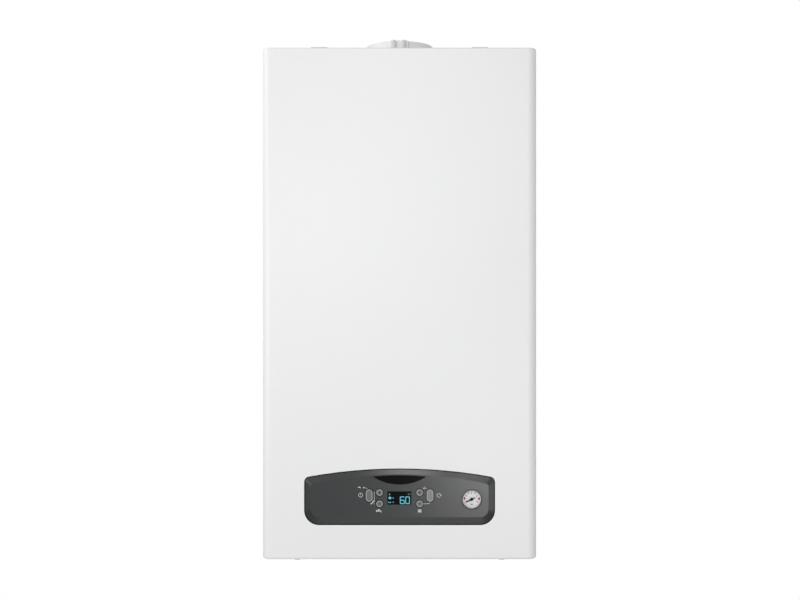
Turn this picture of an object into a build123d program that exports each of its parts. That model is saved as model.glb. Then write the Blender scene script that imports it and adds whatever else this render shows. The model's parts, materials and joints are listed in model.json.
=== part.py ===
"""Wall-hung combination boiler, one STEP file per sub-part.

Millimetres. X runs to the right seen from the front, the front faces -Y,
+Z is up. The origin lies between the two wall screws, on the wall plane.
Depths are given as d, the distance out from the wall; heights above the
casing's underside are turned into z with up().
"""
import os
from math import cos, pi, radians, sin, sqrt

from build123d import *

# ---- casing ----
CASE_WIDTH = 400.0
CASE_HEIGHT = 745.0
CASE_DEPTH = 316.0
HANG_DROP = 45.0
SHEET = 1.2
COVER_REACH = 42.0
SEAL_ROOM = 2.0
CORNER_ROUND = 12.0
RIM_TOP_ROUND = 2.0
RIM_FOOT_ROUND = 4.0
LIP_WIDTH = 10.0
TAB_X = 118.0
TAB_WIDTH = 24.0
TAB_THICK = 2.0
TAB_INSET = 17.0
NOTCH_X = 150.0

# ---- wall bracket ----
BRACKET_INSET = 35.0
SCREW_INSET = 50.0
SCREW_HOLE = 5.0
BRACKET_SHEET = 2.5
HOOK_INSET = 13.0
HOOK_WIDTH = 24.0
POCKET_DEPTH = 14.0

# ---- flue ----
FLUE_DEPTH = 158.0
COLLAR_RADIUS = 53.0
COLLAR_HEIGHT = 34.0
COLLAR_WALL = 3.0
FLUE_BORE = 30.0
FLUE_WALL = 2.5
CAP_X = 122.0

# ---- connections ----
PORT_MARGIN = 66.0
PORT_DEPTH = 130.0
PORT_DROP = 22.0
THREAD_BIG = 13.22
THREAD_SMALL = 10.48
TRAP_MARGIN = 40.0
TRAP_DEPTH = 190.0
DRAIN_RADIUS = 12.0

# ---- combustion ----
EXCHANGER_MARGIN = 28.0
EXCHANGER_H = 470.0
EXCHANGER_BACK = 100.0
FRONT_ROOM = 76.0
FAN_MARGIN = 20.0
FAN_GAP = 12.0
FAN_DROP = 30.0
FAN_RADIUS = 58.0
RING_PITCH = 16.0
ELBOW_DEPTH = 142.0
ELBOW_RADIUS = 31.0
VALVE_DEPTH = 186.0
PIPE_RADIUS = 9.0
PUMP_RISE = 56.0
TRAP_TOP = 204.0

# ---- control box and its front ----
BOX_MARGIN = 16.0
BOX_LOW = 22.0
BOX_HIGH = 150.0
BOX_BACK = 228.0
BOX_INSET = 8.0
BOX_WALL = 2.5
PIVOT_INSET = 20.0
PIVOT_H = 28.0
PIVOT_RADIUS = 3.0
RUN = 0.05
FACIA_HALF = 137.3
FACIA_LOW = 51.8
FACIA_PEAK = 131.2
FACIA_ARC = 743.0
FACIA_TOP_ROUND = 6.5
FACIA_LOW_ROUND = 20.0
FACIA_GAP = 1.5
SLOPE_WIDTH = 8.1
SLOPE_TOP = 6.7
SLOPE_FOOT = 10.4
SLOPE_SUNK = 0.4
STAND_OUT = 2.4
MOULDING = 2.5
LCD_WIDTH = 34.5
LCD_HEIGHT = 18.8
LCD_H = 89.9
ROUND_X = 29.1
ROUND_HIGH = 98.1
ROUND_LOW = 81.8
ROUND_RADIUS = 4.65
LONG_X = 44.2
LONG_H = 93.8
LONG_WIDTH = 9.7
LONG_HEIGHT = 17.6
BUTTON_GAP = 0.3
BUTTON_PROUD = 0.6
BOARD_ROOM = 8.0
SWITCH_HIGH = 5.3
BUTTON_TRAVEL = 1.2
GAUGE_X = 105.0
GAUGE_H = 87.8
GAUGE_RADIUS = 14.8
GAUGE_WALL = 1.4
GAUGE_BED = 4.9
NEEDLE_LENGTH = 8.8
NEEDLE_ANGLE = 205.8

HALF = CASE_WIDTH / 2
TOP = HANG_DROP
BOTTOM = HANG_DROP - CASE_HEIGHT
IN_HALF = HALF - SHEET
COVER_BACK = CASE_DEPTH - COVER_REACH
PANEL_DEPTH = COVER_BACK - SEAL_ROOM
TAB_DEPTH = CASE_DEPTH - TAB_INSET
BRACKET_LENGTH = CASE_WIDTH - 2 * BRACKET_INSET
SCREW_SPACING = BRACKET_LENGTH - 2 * SCREW_INSET
HOOK_X = BRACKET_LENGTH / 2 - HOOK_INSET
PORT_PITCH = (HALF - PORT_MARGIN) / 2
TRAP_X = HALF - TRAP_MARGIN
EXCHANGER_RADIUS = HALF - (EXCHANGER_MARGIN + FAN_MARGIN + FAN_GAP) / 2 - FAN_RADIUS
EXCHANGER_X = EXCHANGER_MARGIN + EXCHANGER_RADIUS - HALF
EXCHANGER_FRONT = CASE_DEPTH - FRONT_ROOM
FAN_X = HALF - FAN_MARGIN - FAN_RADIUS
FAN_H = EXCHANGER_H - FAN_DROP
SUMP_H = EXCHANGER_H - EXCHANGER_RADIUS
PUMP_H = SUMP_H / 2 + PUMP_RISE
SPIGOT_H = EXCHANGER_H + EXCHANGER_RADIUS + 16
BOX_HALF = HALF - BOX_MARGIN
BOX_FRONT = CASE_DEPTH - BOX_INSET
BOX_FACE = BOX_FRONT - 3.0
PIVOT_DEPTH = BOX_FRONT - PIVOT_INSET
SLOPE_BACK = CASE_DEPTH - SLOPE_SUNK
PLATEAU = CASE_DEPTH + STAND_OUT
BUTTON_FRONT = PLATEAU + BUTTON_PROUD
BOARD_BACK = BOX_FRONT - BOARD_ROOM
BOARD_FRONT = BOARD_BACK + 1.6
SWITCH_TOP = BOARD_BACK + SWITCH_HIGH
PLATEAU_BACK = PLATEAU - MOULDING


# ---- drawing helpers ----
def up(h):
    """Height above the casing's underside, as z."""
    return BOTTOM + h


def front(d):
    """Plane parallel to the wall, d out from it, x right and y up."""
    return Plane(origin=(0, -d, 0), x_dir=(1, 0, 0), z_dir=(0, -1, 0))


def level(z):
    """Horizontal plane at z, x right and y towards the wall."""
    return Plane(origin=(0, 0, z), x_dir=(1, 0, 0), z_dir=(0, 0, 1))


def slab(x0, x1, d0, d1, z0, z1):
    """Box between limits."""
    at = Pos((x0 + x1) / 2, -(d0 + d1) / 2, (z0 + z1) / 2)
    return at * Box(x1 - x0, d1 - d0, z1 - z0)


def prism(sketch, d0, d1):
    """Extrude a front-view sketch from depth d0 out to d1."""
    return extrude(front(d0) * sketch, amount=d1 - d0)


def stack(sketch, z0, z1):
    """Extrude a plan-view sketch from z0 up to z1."""
    return extrude(level(z0) * sketch, amount=z1 - z0)


def rod_x(x0, x1, d, z, r):
    return Pos((x0 + x1) / 2, -d, z) * Rot(0, 90, 0) * Cylinder(r, x1 - x0)


def rod_y(x, z, d0, d1, r):
    return Pos(x, -(d0 + d1) / 2, z) * Rot(90, 0, 0) * Cylinder(r, d1 - d0)


def rod_z(x, d, z0, z1, r):
    return Pos(x, -d, (z0 + z1) / 2) * Cylinder(r, z1 - z0)


def cone_y(x, z, d0, d1, r0, r1):
    """Frustum along the depth, radius r0 at d0 and r1 at d1."""
    return Pos(x, -(d0 + d1) / 2, z) * Rot(90, 0, 0) * Cone(r0, r1, d1 - d0)


def cone_z(x, d, z0, z1, r0, r1):
    return Pos(x, -d, (z0 + z1) / 2) * Cone(r0, r1, z1 - z0)


def hex_z(x, d, z0, z1, across):
    """Hexagonal prism, across flats."""
    return Pos(x, -d, 0) * stack(RegularPolygon(across / sqrt(3), 6), z0, z1)


def hex_y(x, z, d0, d1, across):
    return Pos(x, 0, z) * prism(RegularPolygon(across / sqrt(3), 6), d0, d1)


def twice(shape):
    """The shape and its mirror image in the middle plane."""
    return shape + mirror(shape, about=Plane.YZ)


def tube(points, radius, bend):
    """Round bar along a bent path of (x, d, z) points."""
    line = FilletPolyline(*[(x, -d, z) for x, d, z in points], radius=bend)
    start = Plane(origin=line @ 0, z_dir=line % 0)
    return sweep(start * Circle(radius), path=line)


def round_box(x0, x1, d0, d1, z0, z1, r):
    """Box with every edge rounded."""
    body = slab(x0, x1, d0, d1, z0, z1)
    return fillet(body.edges(), r)


def panel_outline(half, low, peak, arc, top_round, low_round):
    """Front view of the control panel: flat foot, arched top."""
    drop = arc - sqrt(arc * arc - half * half)
    shoulder = peak - drop
    a = (-half, low)
    b = (half, low)
    c = (half, shoulder)
    e = (-half, shoulder)
    edges = [Line(a, b), Line(b, c), ThreePointArc(c, (0, peak), e), Line(e, a)]
    face = make_face(edges)
    face = fillet(face.vertices().sort_by(Axis.Y)[:2], low_round)
    return fillet(face.vertices().sort_by(Axis.Y)[-2:], top_round)


def facia_outline(grow=0.0):
    """Outer outline of the control panel, grown by a gap."""
    return panel_outline(
        FACIA_HALF + grow,
        up(FACIA_LOW) - grow,
        up(FACIA_PEAK) + grow,
        FACIA_ARC + grow,
        FACIA_TOP_ROUND + grow,
        FACIA_LOW_ROUND + grow,
    )


def plateau_outline(shrink=0.0):
    """Raised field of the control panel."""
    return panel_outline(
        FACIA_HALF - SLOPE_WIDTH - shrink,
        up(FACIA_LOW) + SLOPE_FOOT + shrink,
        up(FACIA_PEAK) - SLOPE_TOP - shrink,
        FACIA_ARC * 0.8 - shrink,
        max(FACIA_TOP_ROUND - 1.5 - shrink, 1.0),
        max(FACIA_LOW_ROUND - SLOPE_WIDTH - shrink, 2.0),
    )


# ---- casing ----
def back_frame():
    """Sheet against the wall with a pocket for the bracket and two ribs."""
    low = BOTTOM + SHEET
    high = TOP - SHEET
    pocket_x = BRACKET_LENGTH / 2 + 15
    body = slab(-IN_HALF, IN_HALF, 0, SHEET, low, high)
    body += slab(-pocket_x - SHEET, pocket_x + SHEET, 0, POCKET_DEPTH + SHEET, -46.2, 36.2)
    body += twice(slab(IN_HALF - SHEET, IN_HALF, 0, 26, low + 1.4, high - 1.4))
    for x in (-100, 0, 100):
        rib = rod_z(x, -4, up(60), TOP - 115, 9.2)
        body += rib & slab(x - 12, x + 12, 0.4, 9, up(50), TOP - 105)
    body -= slab(-pocket_x, pocket_x, -1, POCKET_DEPTH, -45, 35)
    for x in (-100, 0, 100):
        body -= rod_z(x, -4, up(61), TOP - 116, 8)
    slot = slab(HOOK_X - 14, HOOK_X + 14, 10, 20, -23.5, -5.5)
    body -= twice(slot)
    for h in (25, 180, CASE_HEIGHT - 85):
        body -= twice(rod_y(IN_HALF - 22, up(h), -1, 3, 3.5))
    return body


def wall_bracket():
    """Steel strip with two screw holes and two upturned hooks."""
    half = BRACKET_LENGTH / 2
    strip = Pos(0, 2.5) * RectangleRounded(2 * half, 45, 4)
    body = prism(strip, 0, BRACKET_SHEET)
    x0 = HOOK_X - HOOK_WIDTH / 2
    x1 = HOOK_X + HOOK_WIDTH / 2
    body -= twice(slab(x0, x1, -1, 4, -5.5, 15))
    hook = slab(x0, x1, 0, 20, -8, -5.5)
    hook += slab(x0, x1, 17.5, 20, -8, 4)
    body += twice(hook)
    body -= twice(rod_y(SCREW_SPACING / 2, 0, -1, 4, SCREW_HOLE))
    for x in (0, 60):
        body -= twice(rod_y(x, 0, -1, 4, 3.2))
    return body


def side_panel(side):
    """Painted side sheet with folded edges."""
    out = slab(IN_HALF, HALF, 0, PANEL_DEPTH, BOTTOM, TOP)
    out += slab(HALF - 14, IN_HALF, PANEL_DEPTH - SHEET, PANEL_DEPTH, BOTTOM + 4, TOP - 4)
    out += slab(HALF - 14, IN_HALF, SHEET, PANEL_DEPTH - 4, TOP - 2 * SHEET, TOP - SHEET)
    out += slab(HALF - 14, IN_HALF, SHEET, PANEL_DEPTH - 12, BOTTOM + SHEET, BOTTOM + 2 * SHEET)
    if side < 0:
        return mirror(out, about=Plane.YZ)
    return out


def top_plate():
    """Top sheet with the flue hole and two capped air holes."""
    edge = PANEL_DEPTH + 19
    body = slab(-IN_HALF, IN_HALF, 0, PANEL_DEPTH, TOP - SHEET, TOP)
    inner = IN_HALF - 0.8
    body += slab(-inner, inner, PANEL_DEPTH, edge, TOP - SHEET, TOP)
    body += slab(-inner, inner, edge - SHEET, edge, TOP - 12.8, TOP)
    body -= rod_z(0, FLUE_DEPTH, TOP - 5, TOP + 5, COLLAR_RADIUS - 1)
    body -= twice(rod_z(CAP_X, FLUE_DEPTH, TOP - 5, TOP + 5, 36))
    return body


def bottom_plate():
    """Bottom sheet pierced for the connections."""
    body = slab(-IN_HALF, IN_HALF, 0, PANEL_DEPTH - 8, BOTTOM, BOTTOM + SHEET)
    for x, r in port_list():
        body -= rod_z(x, PORT_DEPTH, BOTTOM - 5, BOTTOM + 5, r + 4)
    body -= rod_z(-TRAP_X, TRAP_DEPTH, BOTTOM - 5, BOTTOM + 5, DRAIN_RADIUS + 2)
    body -= rod_z(PORT_PITCH * 1.5, PORT_DEPTH + 20, BOTTOM - 5, BOTTOM + 5, 9)
    for x in (-100, -34, 34):
        body -= rod_z(x, 205, BOTTOM - 5, BOTTOM + 5, 8)
    return body


def port_list():
    """Connections from left to right: position and thread radius."""
    sizes = (THREAD_BIG, THREAD_SMALL, THREAD_BIG, THREAD_SMALL, THREAD_BIG)
    return [((i - 2) * PORT_PITCH, r) for i, r in enumerate(sizes)]


def seat(x, r):
    """Collar by which a connection stands on the bottom plate."""
    return rod_z(x, PORT_DEPTH, up(SHEET), up(SHEET + 4), r + 8)


def top_rail():
    """Folded rail carrying the two tabs the cover hangs on."""
    z = TOP - 12.8
    body = slab(-IN_HALF, IN_HALF, PANEL_DEPTH - 2 * SHEET, PANEL_DEPTH - SHEET, TOP - 40, z)
    body += slab(14 - HALF, HALF - 14, PANEL_DEPTH - SHEET, TAB_DEPTH + 4, z - SHEET, z)
    t = TAB_THICK / 2
    axis = TOP - SHEET - t
    x0 = TAB_X - TAB_WIDTH / 2
    x1 = TAB_X + TAB_WIDTH / 2
    tab = slab(x0 - 5, x1 + 5, TAB_DEPTH - t, TAB_DEPTH + t, z - SHEET, axis)
    tab += rod_x(x0 - 5, x1 + 5, TAB_DEPTH, axis, t - 0.05)
    tab += slab(x0, x1, TAB_DEPTH - t, TAB_DEPTH + t, axis, TOP + 2.7)
    tab += rod_x(x0, x1, TAB_DEPTH, TOP + 2.7, 1.8)
    body += twice(tab)
    for x in (40, 90):
        body -= twice(rod_z(x, TAB_DEPTH - 14, z - 5, z + 5, 6))
    return body


def bottom_rail():
    """Folded rail with the control box's ears and the screw holes."""
    z = BOTTOM + 1.5
    back = PANEL_DEPTH - 10
    body = slab(-IN_HALF, IN_HALF, back, back + SHEET, BOTTOM + SHEET, BOTTOM + 14)
    ear_out = BOX_HALF + 3.5
    body += slab(-ear_out, ear_out, back, TAB_DEPTH + 5, z, z + SHEET)
    ear = slab(ear_out - 2.5, ear_out, PIVOT_DEPTH - 10, PIVOT_DEPTH + 10, z, up(PIVOT_H))
    ear += rod_x(ear_out - 2.5, ear_out, PIVOT_DEPTH, up(PIVOT_H), 10)
    body += twice(ear)
    body -= twice(rod_x(BOX_HALF, HALF, PIVOT_DEPTH, up(PIVOT_H), PIVOT_RADIUS + RUN))
    body -= twice(rod_z(NOTCH_X, TAB_DEPTH, BOTTOM - 5, BOTTOM + 8, 2.0))
    return body


def cover_block(inset, back):
    """Solid shape of the cover, every face moved in by inset."""
    x = HALF - inset
    body = slab(-x, x, back, CASE_DEPTH - inset, BOTTOM + inset, TOP - inset)
    edges = body.edges().filter_by(Axis.Z).group_by(Axis.Y)[0]
    body = fillet(edges, CORNER_ROUND - inset)
    for end, radius in ((0, RIM_FOOT_ROUND), (-1, RIM_TOP_ROUND)):
        edges = body.faces().filter_by(Axis.Z).sort_by(Axis.Z)[end].edges()
        edges = edges.filter_by(lambda e: e.center().Y < -back - 0.5)
        body = fillet(edges, radius - inset)
    return body


def front_cover():
    """Painted front sheet: deep-drawn tray with the panel opening."""
    body = cover_block(0.0, COVER_BACK) - cover_block(SHEET, COVER_BACK - 5)
    flange = TAB_DEPTH - 6
    open_x = IN_HALF
    body -= slab(-open_x, open_x, COVER_BACK - 5, flange, TOP - 8, TOP + 5)
    body -= slab(-open_x, open_x, COVER_BACK - 5, flange, BOTTOM - 5, BOTTOM + 8)
    back = COVER_BACK + SHEET
    lip = slab(IN_HALF - LIP_WIDTH, IN_HALF + 0.2, COVER_BACK, back, BOTTOM + 20, TOP - 20)
    body += twice(lip)
    wide = TAB_WIDTH / 2 + 2
    slot = slab(TAB_X - wide, TAB_X + wide, TAB_DEPTH - 3.5, TAB_DEPTH + 3.5, TOP - 4, TOP + 4)
    body -= twice(slot)
    notch = slab(NOTCH_X - 3.25, NOTCH_X + 3.25, flange - 5, TAB_DEPTH, BOTTOM - 4, BOTTOM + 4)
    notch += rod_z(NOTCH_X, TAB_DEPTH, BOTTOM - 4, BOTTOM + 4, 3.25)
    body -= twice(notch)
    return body - prism(facia_outline(FACIA_GAP), CASE_DEPTH - 10, CASE_DEPTH + 5)


def cover_seal():
    """Foam strips between side panels and cover."""
    strip = slab(HALF - 12, HALF - 4, PANEL_DEPTH, COVER_BACK - 0.3, BOTTOM + 22, TOP - 22)
    return twice(strip)


def casing_screws():
    """Two screws at the cover's foot and four in the collar's base."""
    body = rod_z(NOTCH_X, TAB_DEPTH, BOTTOM - 0.3, BOTTOM + 9, 2.0)
    body += rod_z(NOTCH_X, TAB_DEPTH, BOTTOM - 3.3, BOTTOM - 0.3, 4.2)
    body -= slab(NOTCH_X - 3, NOTCH_X + 3, TAB_DEPTH - 0.5, TAB_DEPTH + 0.5, BOTTOM - 4, BOTTOM - 2)
    body -= slab(NOTCH_X - 0.5, NOTCH_X + 0.5, TAB_DEPTH - 3, TAB_DEPTH + 3, BOTTOM - 4, BOTTOM - 2)
    return twice(body) + collar_screws()


# ---- flue ----
def flue_collar():
    """Twin-wall flue connection with a boss for two sampling points."""
    r = COLLAR_RADIUS
    high = TOP + COLLAR_HEIGHT
    base = Pos(0, -FLUE_DEPTH) * RectangleRounded(2 * r + 26, 2 * r + 26, 14)
    body = stack(base, TOP, TOP + 4)
    body += rod_z(0, FLUE_DEPTH, TOP, high, r)
    body += rod_z(0, FLUE_DEPTH, TOP, TOP + 10, r + 4)
    boss = slab(-16, 13.6, FLUE_DEPTH, FLUE_DEPTH + r + 6, TOP, high - 0.6)
    body += fillet(boss.edges().filter_by(Axis.Z), 2)
    body += slab(15.5, 17.5, FLUE_DEPTH + 20, FLUE_DEPTH + r + 1.5, TOP, high - 1)
    body -= rod_z(0, FLUE_DEPTH, TOP - 1, high + 1, r - COLLAR_WALL)
    for x in (-8.8, 6.2):
        body -= rod_z(x, FLUE_DEPTH + r + 4, TOP + 8, high + 1, 5.1)
    inner = FLUE_BORE + FLUE_WALL
    socket = rod_z(0, FLUE_DEPTH, TOP - 30, high - 2, inner)
    socket += slab(-r + 1, r - 1, FLUE_DEPTH - 1.5, FLUE_DEPTH + 1.5, TOP, TOP + 8)
    socket -= rod_z(0, FLUE_DEPTH, TOP - 2, high, FLUE_BORE)
    socket -= rod_z(0, FLUE_DEPTH, TOP - 31, high, FLUE_BORE - 3)
    body += socket
    for x in (-1, 1):
        for y in (-1, 1):
            body -= rod_z(x * (r + 3), FLUE_DEPTH + y * (r + 3), TOP - 1, TOP + 5, 2)
    return body


def sampling_plugs():
    """Two grey stoppers in the boss."""
    body = None
    for x in (-8.8, 6.2):
        d = FLUE_DEPTH + COLLAR_RADIUS + 4
        plug = rod_z(x, d, TOP + 8, TOP + COLLAR_HEIGHT - 1.2, 5.1)
        plug += rod_z(x, d, TOP + COLLAR_HEIGHT - 1.2, TOP + COLLAR_HEIGHT + 0.4, 2.4)
        body = plug if body is None else body + plug
    return body


def collar_screws():
    """Four pan-head screws through the collar's base."""
    body = None
    for x in (-1, 1):
        for y in (-1, 1):
            px = x * (COLLAR_RADIUS + 3)
            pd = FLUE_DEPTH + y * (COLLAR_RADIUS + 3)
            one = rod_z(px, pd, TOP, TOP + 4, 2)
            head = rod_z(px, pd, TOP + 4, TOP + 6.4, 4)
            one += fillet(head.edges().sort_by(Axis.Z)[-1], 1.2)
            one -= slab(px - 2.4, px + 2.4, pd - 0.5, pd + 0.5, TOP + 5, TOP + 7)
            body = one if body is None else body + one
    return body


def intake_caps():
    """Low caps over the two spare air holes."""
    cap = rod_z(CAP_X, FLUE_DEPTH, TOP, TOP + 5, 45)
    cap = fillet(cap.edges().sort_by(Axis.Z)[-1], 3)
    cap += rod_z(CAP_X, FLUE_DEPTH, TOP - 8, TOP, 35.8)
    cap -= rod_z(CAP_X, FLUE_DEPTH, TOP - 9, TOP + 2.5, 33)
    return twice(cap)


def flue_duct():
    """Exhaust pipe from the heat exchanger up to the collar."""
    r = FLUE_BORE + FLUE_WALL
    low = up(SPIGOT_H)
    body = rod_z(0, FLUE_DEPTH, low, TOP - 30, r - 1)
    body += rod_z(0, FLUE_DEPTH, low, low + 26, r + 1.5)
    body += rod_z(0, FLUE_DEPTH, TOP - 52, TOP - 30, r + 1.5)
    return body - rod_z(0, FLUE_DEPTH, low - 1, TOP, r - 3.5)


# ---- combustion ----
def exchanger_shell():
    """Round casing of the condensing heat exchanger."""
    x = EXCHANGER_X
    z = up(EXCHANGER_H)
    r = EXCHANGER_RADIUS
    body = rod_y(x, z, EXCHANGER_BACK, EXCHANGER_FRONT, r)
    body = fillet(body.edges().sort_by(Axis.Y)[-1], 12)
    body += rod_y(x, z, EXCHANGER_FRONT - 6, EXCHANGER_FRONT, r + 8)
    step = (EXCHANGER_FRONT - EXCHANGER_BACK - 53) / 3
    for i in range(4):
        d = EXCHANGER_BACK + 25 + i * step
        body += rod_y(x, z, d, d + 5, r + 2.5)
    body += rod_z(0, FLUE_DEPTH, z, up(SPIGOT_H), FLUE_BORE + FLUE_WALL + 1.5)
    for px, pd, low in stub_list():
        body += rod_z(px, pd, up(low), z, 12)
    body -= rod_z(0, FLUE_DEPTH, z, up(SPIGOT_H + 2), FLUE_BORE - 1)
    for px, pd, low in stub_list():
        body -= rod_z(px, pd, up(low - 10), z, 8)
    hollow = rod_y(x, z, EXCHANGER_BACK + 5, EXCHANGER_FRONT + 1, r - 6)
    body -= fillet(hollow.edges().sort_by(Axis.Y)[-1], 8)
    return body


def stub_list():
    """Stubs under the exchanger: flow, return and sump, with their lower ends."""
    return (
        (-2 * PORT_PITCH, PORT_DEPTH, SUMP_H + 8),
        (-20, PORT_DEPTH, SUMP_H - 4),
        (-90, TRAP_DEPTH, SUMP_H - 2),
    )


def exchanger_coil():
    """Stack of finned water rings joined by two headers."""
    at = Pos(EXCHANGER_X, 0, up(EXCHANGER_H))
    mean = EXCHANGER_RADIUS - 12.8
    body = None
    rings = int((EXCHANGER_FRONT - EXCHANGER_BACK - 28) // RING_PITCH)
    for i in range(rings):
        d = EXCHANGER_BACK + 24 + RING_PITCH * i
        ring = at * Pos(0, -d, 0) * Rot(90, 0, 0) * Torus(mean, 6.5)
        body = ring if body is None else body + ring
    for a in (205, 335):
        px = EXCHANGER_X + (mean - 5) * cos(radians(a))
        pz = up(EXCHANGER_H) + (mean - 5) * sin(radians(a))
        d0 = EXCHANGER_BACK + 14
        body += slab(px - 7, px + 7, d0, d0 + RING_PITCH * rings, pz - 7, pz + 7)
    return body


def burner():
    """Perforated steel burner drum."""
    x = EXCHANGER_X
    z = up(EXCHANGER_H)
    d0 = EXCHANGER_BACK + 34
    body = rod_y(x, z, d0, EXCHANGER_FRONT, 35)
    body -= rod_y(x, z, d0 + 2, EXCHANGER_FRONT + 1, 33.5)
    for i in range(int((EXCHANGER_FRONT - d0 - 16) // 10) - 1):
        d = d0 + 12 + 10 * i
        for a in range(0, 180, 30):
            cut = slab(x - 40, x + 40, d, d + 3, z - 1, z + 1)
            body -= Pos(x, 0, z) * Rot(0, a, 0) * Pos(-x, 0, -z) * cut
    rim = rod_y(x, z, EXCHANGER_FRONT - 1.5, EXCHANGER_FRONT, 44)
    body += rim - rod_y(x, z, EXCHANGER_FRONT - 10, EXCHANGER_FRONT + 10, 33.5)
    return body


def burner_door():
    """Cast door with the mixture duct leading in from the fan."""
    x = EXCHANGER_X
    z = up(EXCHANGER_H)
    face = EXCHANGER_FRONT
    body = rod_y(x, z, face, face + 10, EXCHANGER_RADIUS + 6)
    body = fillet(body.edges().sort_by(Axis.Y)[0], 3)
    duct_x = EXCHANGER_X + EXCHANGER_RADIUS + 10
    duct_z = up(FAN_H) + 34
    bulb = Pos(x, z) * Circle(40) + Pos(duct_x - 24, duct_z) * Circle(24)
    hump = prism(make_hull(bulb.edges()), face + 5, face + 36)
    body += fillet(hump.faces().sort_by(Axis.Y)[0].edges(), 9)
    body += slab(duct_x - 10, duct_x, face, face + 36, duct_z - 30, duct_z + 30)
    for a in range(0, 360, 45):
        rib = slab(x + 50, x + EXCHANGER_RADIUS - 14, face + 8, face + 13, z - 2, z + 2)
        body += Pos(x, 0, z) * Rot(0, a + 22.5, 0) * Pos(-x, 0, -z) * rib
    body += hex_y(x - 45, z - 60, face + 8, face + 16, 24)
    for a in range(30, 360, 60):
        px, pz = stud_at(a)
        body -= rod_y(px, pz, face - 1, face + 12, 2.5)
    return body


def stud_at(angle):
    """Centre of one of the door's studs."""
    r = EXCHANGER_RADIUS - 4
    return EXCHANGER_X + r * cos(radians(angle)), up(EXCHANGER_H) + r * sin(radians(angle))


def door_nuts():
    """Six studs with nuts and washers."""
    face = EXCHANGER_FRONT
    body = None
    for a in range(30, 360, 60):
        px, pz = stud_at(a)
        one = rod_y(px, pz, face, face + 20, 2.5)
        one += rod_y(px, pz, face + 10, face + 11.2, 6)
        one += hex_y(px, pz, face + 11.2, face + 16, 9)
        body = one if body is None else body + one
    return body


def ignition_electrode():
    """Spark and flame-sensing electrode with its ceramic."""
    x = EXCHANGER_X - 45
    z = up(EXCHANGER_H) - 60
    face = EXCHANGER_FRONT
    body = rod_y(x, z, face + 16, face + 19, 9)
    body += rod_y(x, z, face + 19, face + 34, 4)
    body += rod_y(x, z, face + 34, face + 42, 2)
    return body


def fan_housing():
    """Scroll of the combustion fan, open to the door duct."""
    x = FAN_X
    z = up(FAN_H)
    d0 = EXCHANGER_FRONT - 4
    d1 = d0 + 42
    duct_x = EXCHANGER_X + EXCHANGER_RADIUS + 10
    outer = Pos(x, z) * Circle(FAN_RADIUS)
    outer += Pos((x + duct_x) / 2, z + 34) * Rectangle(x - duct_x, 2 * FAN_RADIUS - 68)
    body = prism(outer, d0, d1)
    body += slab(duct_x, duct_x + 6, d0, d1 - 2, z + 4, z + 64)
    inner = Pos(x, z) * Circle(FAN_RADIUS - 4)
    inner += Pos((x + duct_x) / 2 - 1, z + 34) * Rectangle(x - duct_x + 2, 2 * FAN_RADIUS - 76)
    body -= prism(inner, d0 + 3.5, d1 - 3.5)
    body -= rod_y(x, z, d0 - 1, d0 + 5, 27)
    body -= rod_y(x, z, d1 - 5, d1 + 1, 7)
    for a in range(45, 360, 90):
        px = x + (FAN_RADIUS + 2) * cos(radians(a))
        pz = z + (FAN_RADIUS + 2) * sin(radians(a))
        if a != 135:
            body += rod_y(px, pz, d0, d1, 5)
    return body


def fan_impeller():
    """Backward-curved wheel on its shaft."""
    x = FAN_X
    z = up(FAN_H)
    d0 = EXCHANGER_FRONT + 3
    body = rod_y(x, z, d0 + 26, d0 + 28.5, 50)
    body += rod_y(x, z, d0, d0 + 1.6, 50) - rod_y(x, z, d0 - 1, d0 + 3, 30)
    for a in range(0, 360, 30):
        blade = slab(x - 10, x + 10, d0 + 0.5, d0 + 27, z - 0.8, z + 0.8)
        blade = Pos(x, 0, z) * Rot(0, 35, 0) * Pos(-x, 0, -z) * blade
        body += Pos(x, 0, z) * Rot(0, a, 0) * Pos(-x + 38, 0, -z) * blade
    body += rod_y(x, z, d0 + 12, d0 + 28.5, 11)
    body += rod_y(x, z, d0 + 28, d0 + 50, 4)
    return body


def fan_motor():
    """Fan motor with its plug."""
    x = FAN_X
    z = up(FAN_H)
    d0 = EXCHANGER_FRONT + 38
    body = rod_y(x, z, d0, d0 + 5, 52)
    can = rod_y(x, z, d0 + 5, d0 + 26, 42)
    body += fillet(can.edges().sort_by(Axis.Y)[0], 5)
    body += slab(x - 12, x + 12, d0 + 5, d0 + 18, z - 56, z - 38)
    body -= rod_y(x, z, d0 - 1, d0 + 18, 4 + RUN)
    for a in range(0, 360, 45):
        slot = slab(x + 16, x + 32, d0 + 24, d0 + 28, z - 2, z + 2)
        body -= Pos(x, 0, z) * Rot(0, a, 0) * Pos(-x, 0, -z) * slot
    return body


def air_silencer():
    """Intake box and elbow that feed air to the fan's eye."""
    x = FAN_X
    z = up(FAN_H)
    d1 = EXCHANGER_FRONT - 4
    low = z + 80
    high = z + 210
    x0 = x - 52
    x1 = HALF - 14
    back = ELBOW_DEPTH - 34
    face = EXCHANGER_FRONT - 14
    body = tube([(x, d1, z), (x, ELBOW_DEPTH, z), (x, ELBOW_DEPTH, low + 15)], ELBOW_RADIUS, 36)
    body += round_box(x0, x1, back, face, low, high, 12)
    path = [(x, d1 + 0.5, z), (x, ELBOW_DEPTH, z), (x, ELBOW_DEPTH, low + 16)]
    body -= tube(path, ELBOW_RADIUS - 4, 36)
    body -= round_box(x0 + 3, x1 - 3, back + 3, face - 3, low + 3, high - 3, 9)
    body -= rod_z(x + 28, ELBOW_DEPTH + 8, high - 10, high + 10, 20)
    for h in (40, 65, 90):
        body += slab(x0 + 14, x1 - 14, face - 0.5, face + 2, low + h, low + h + 4)
    return body


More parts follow.
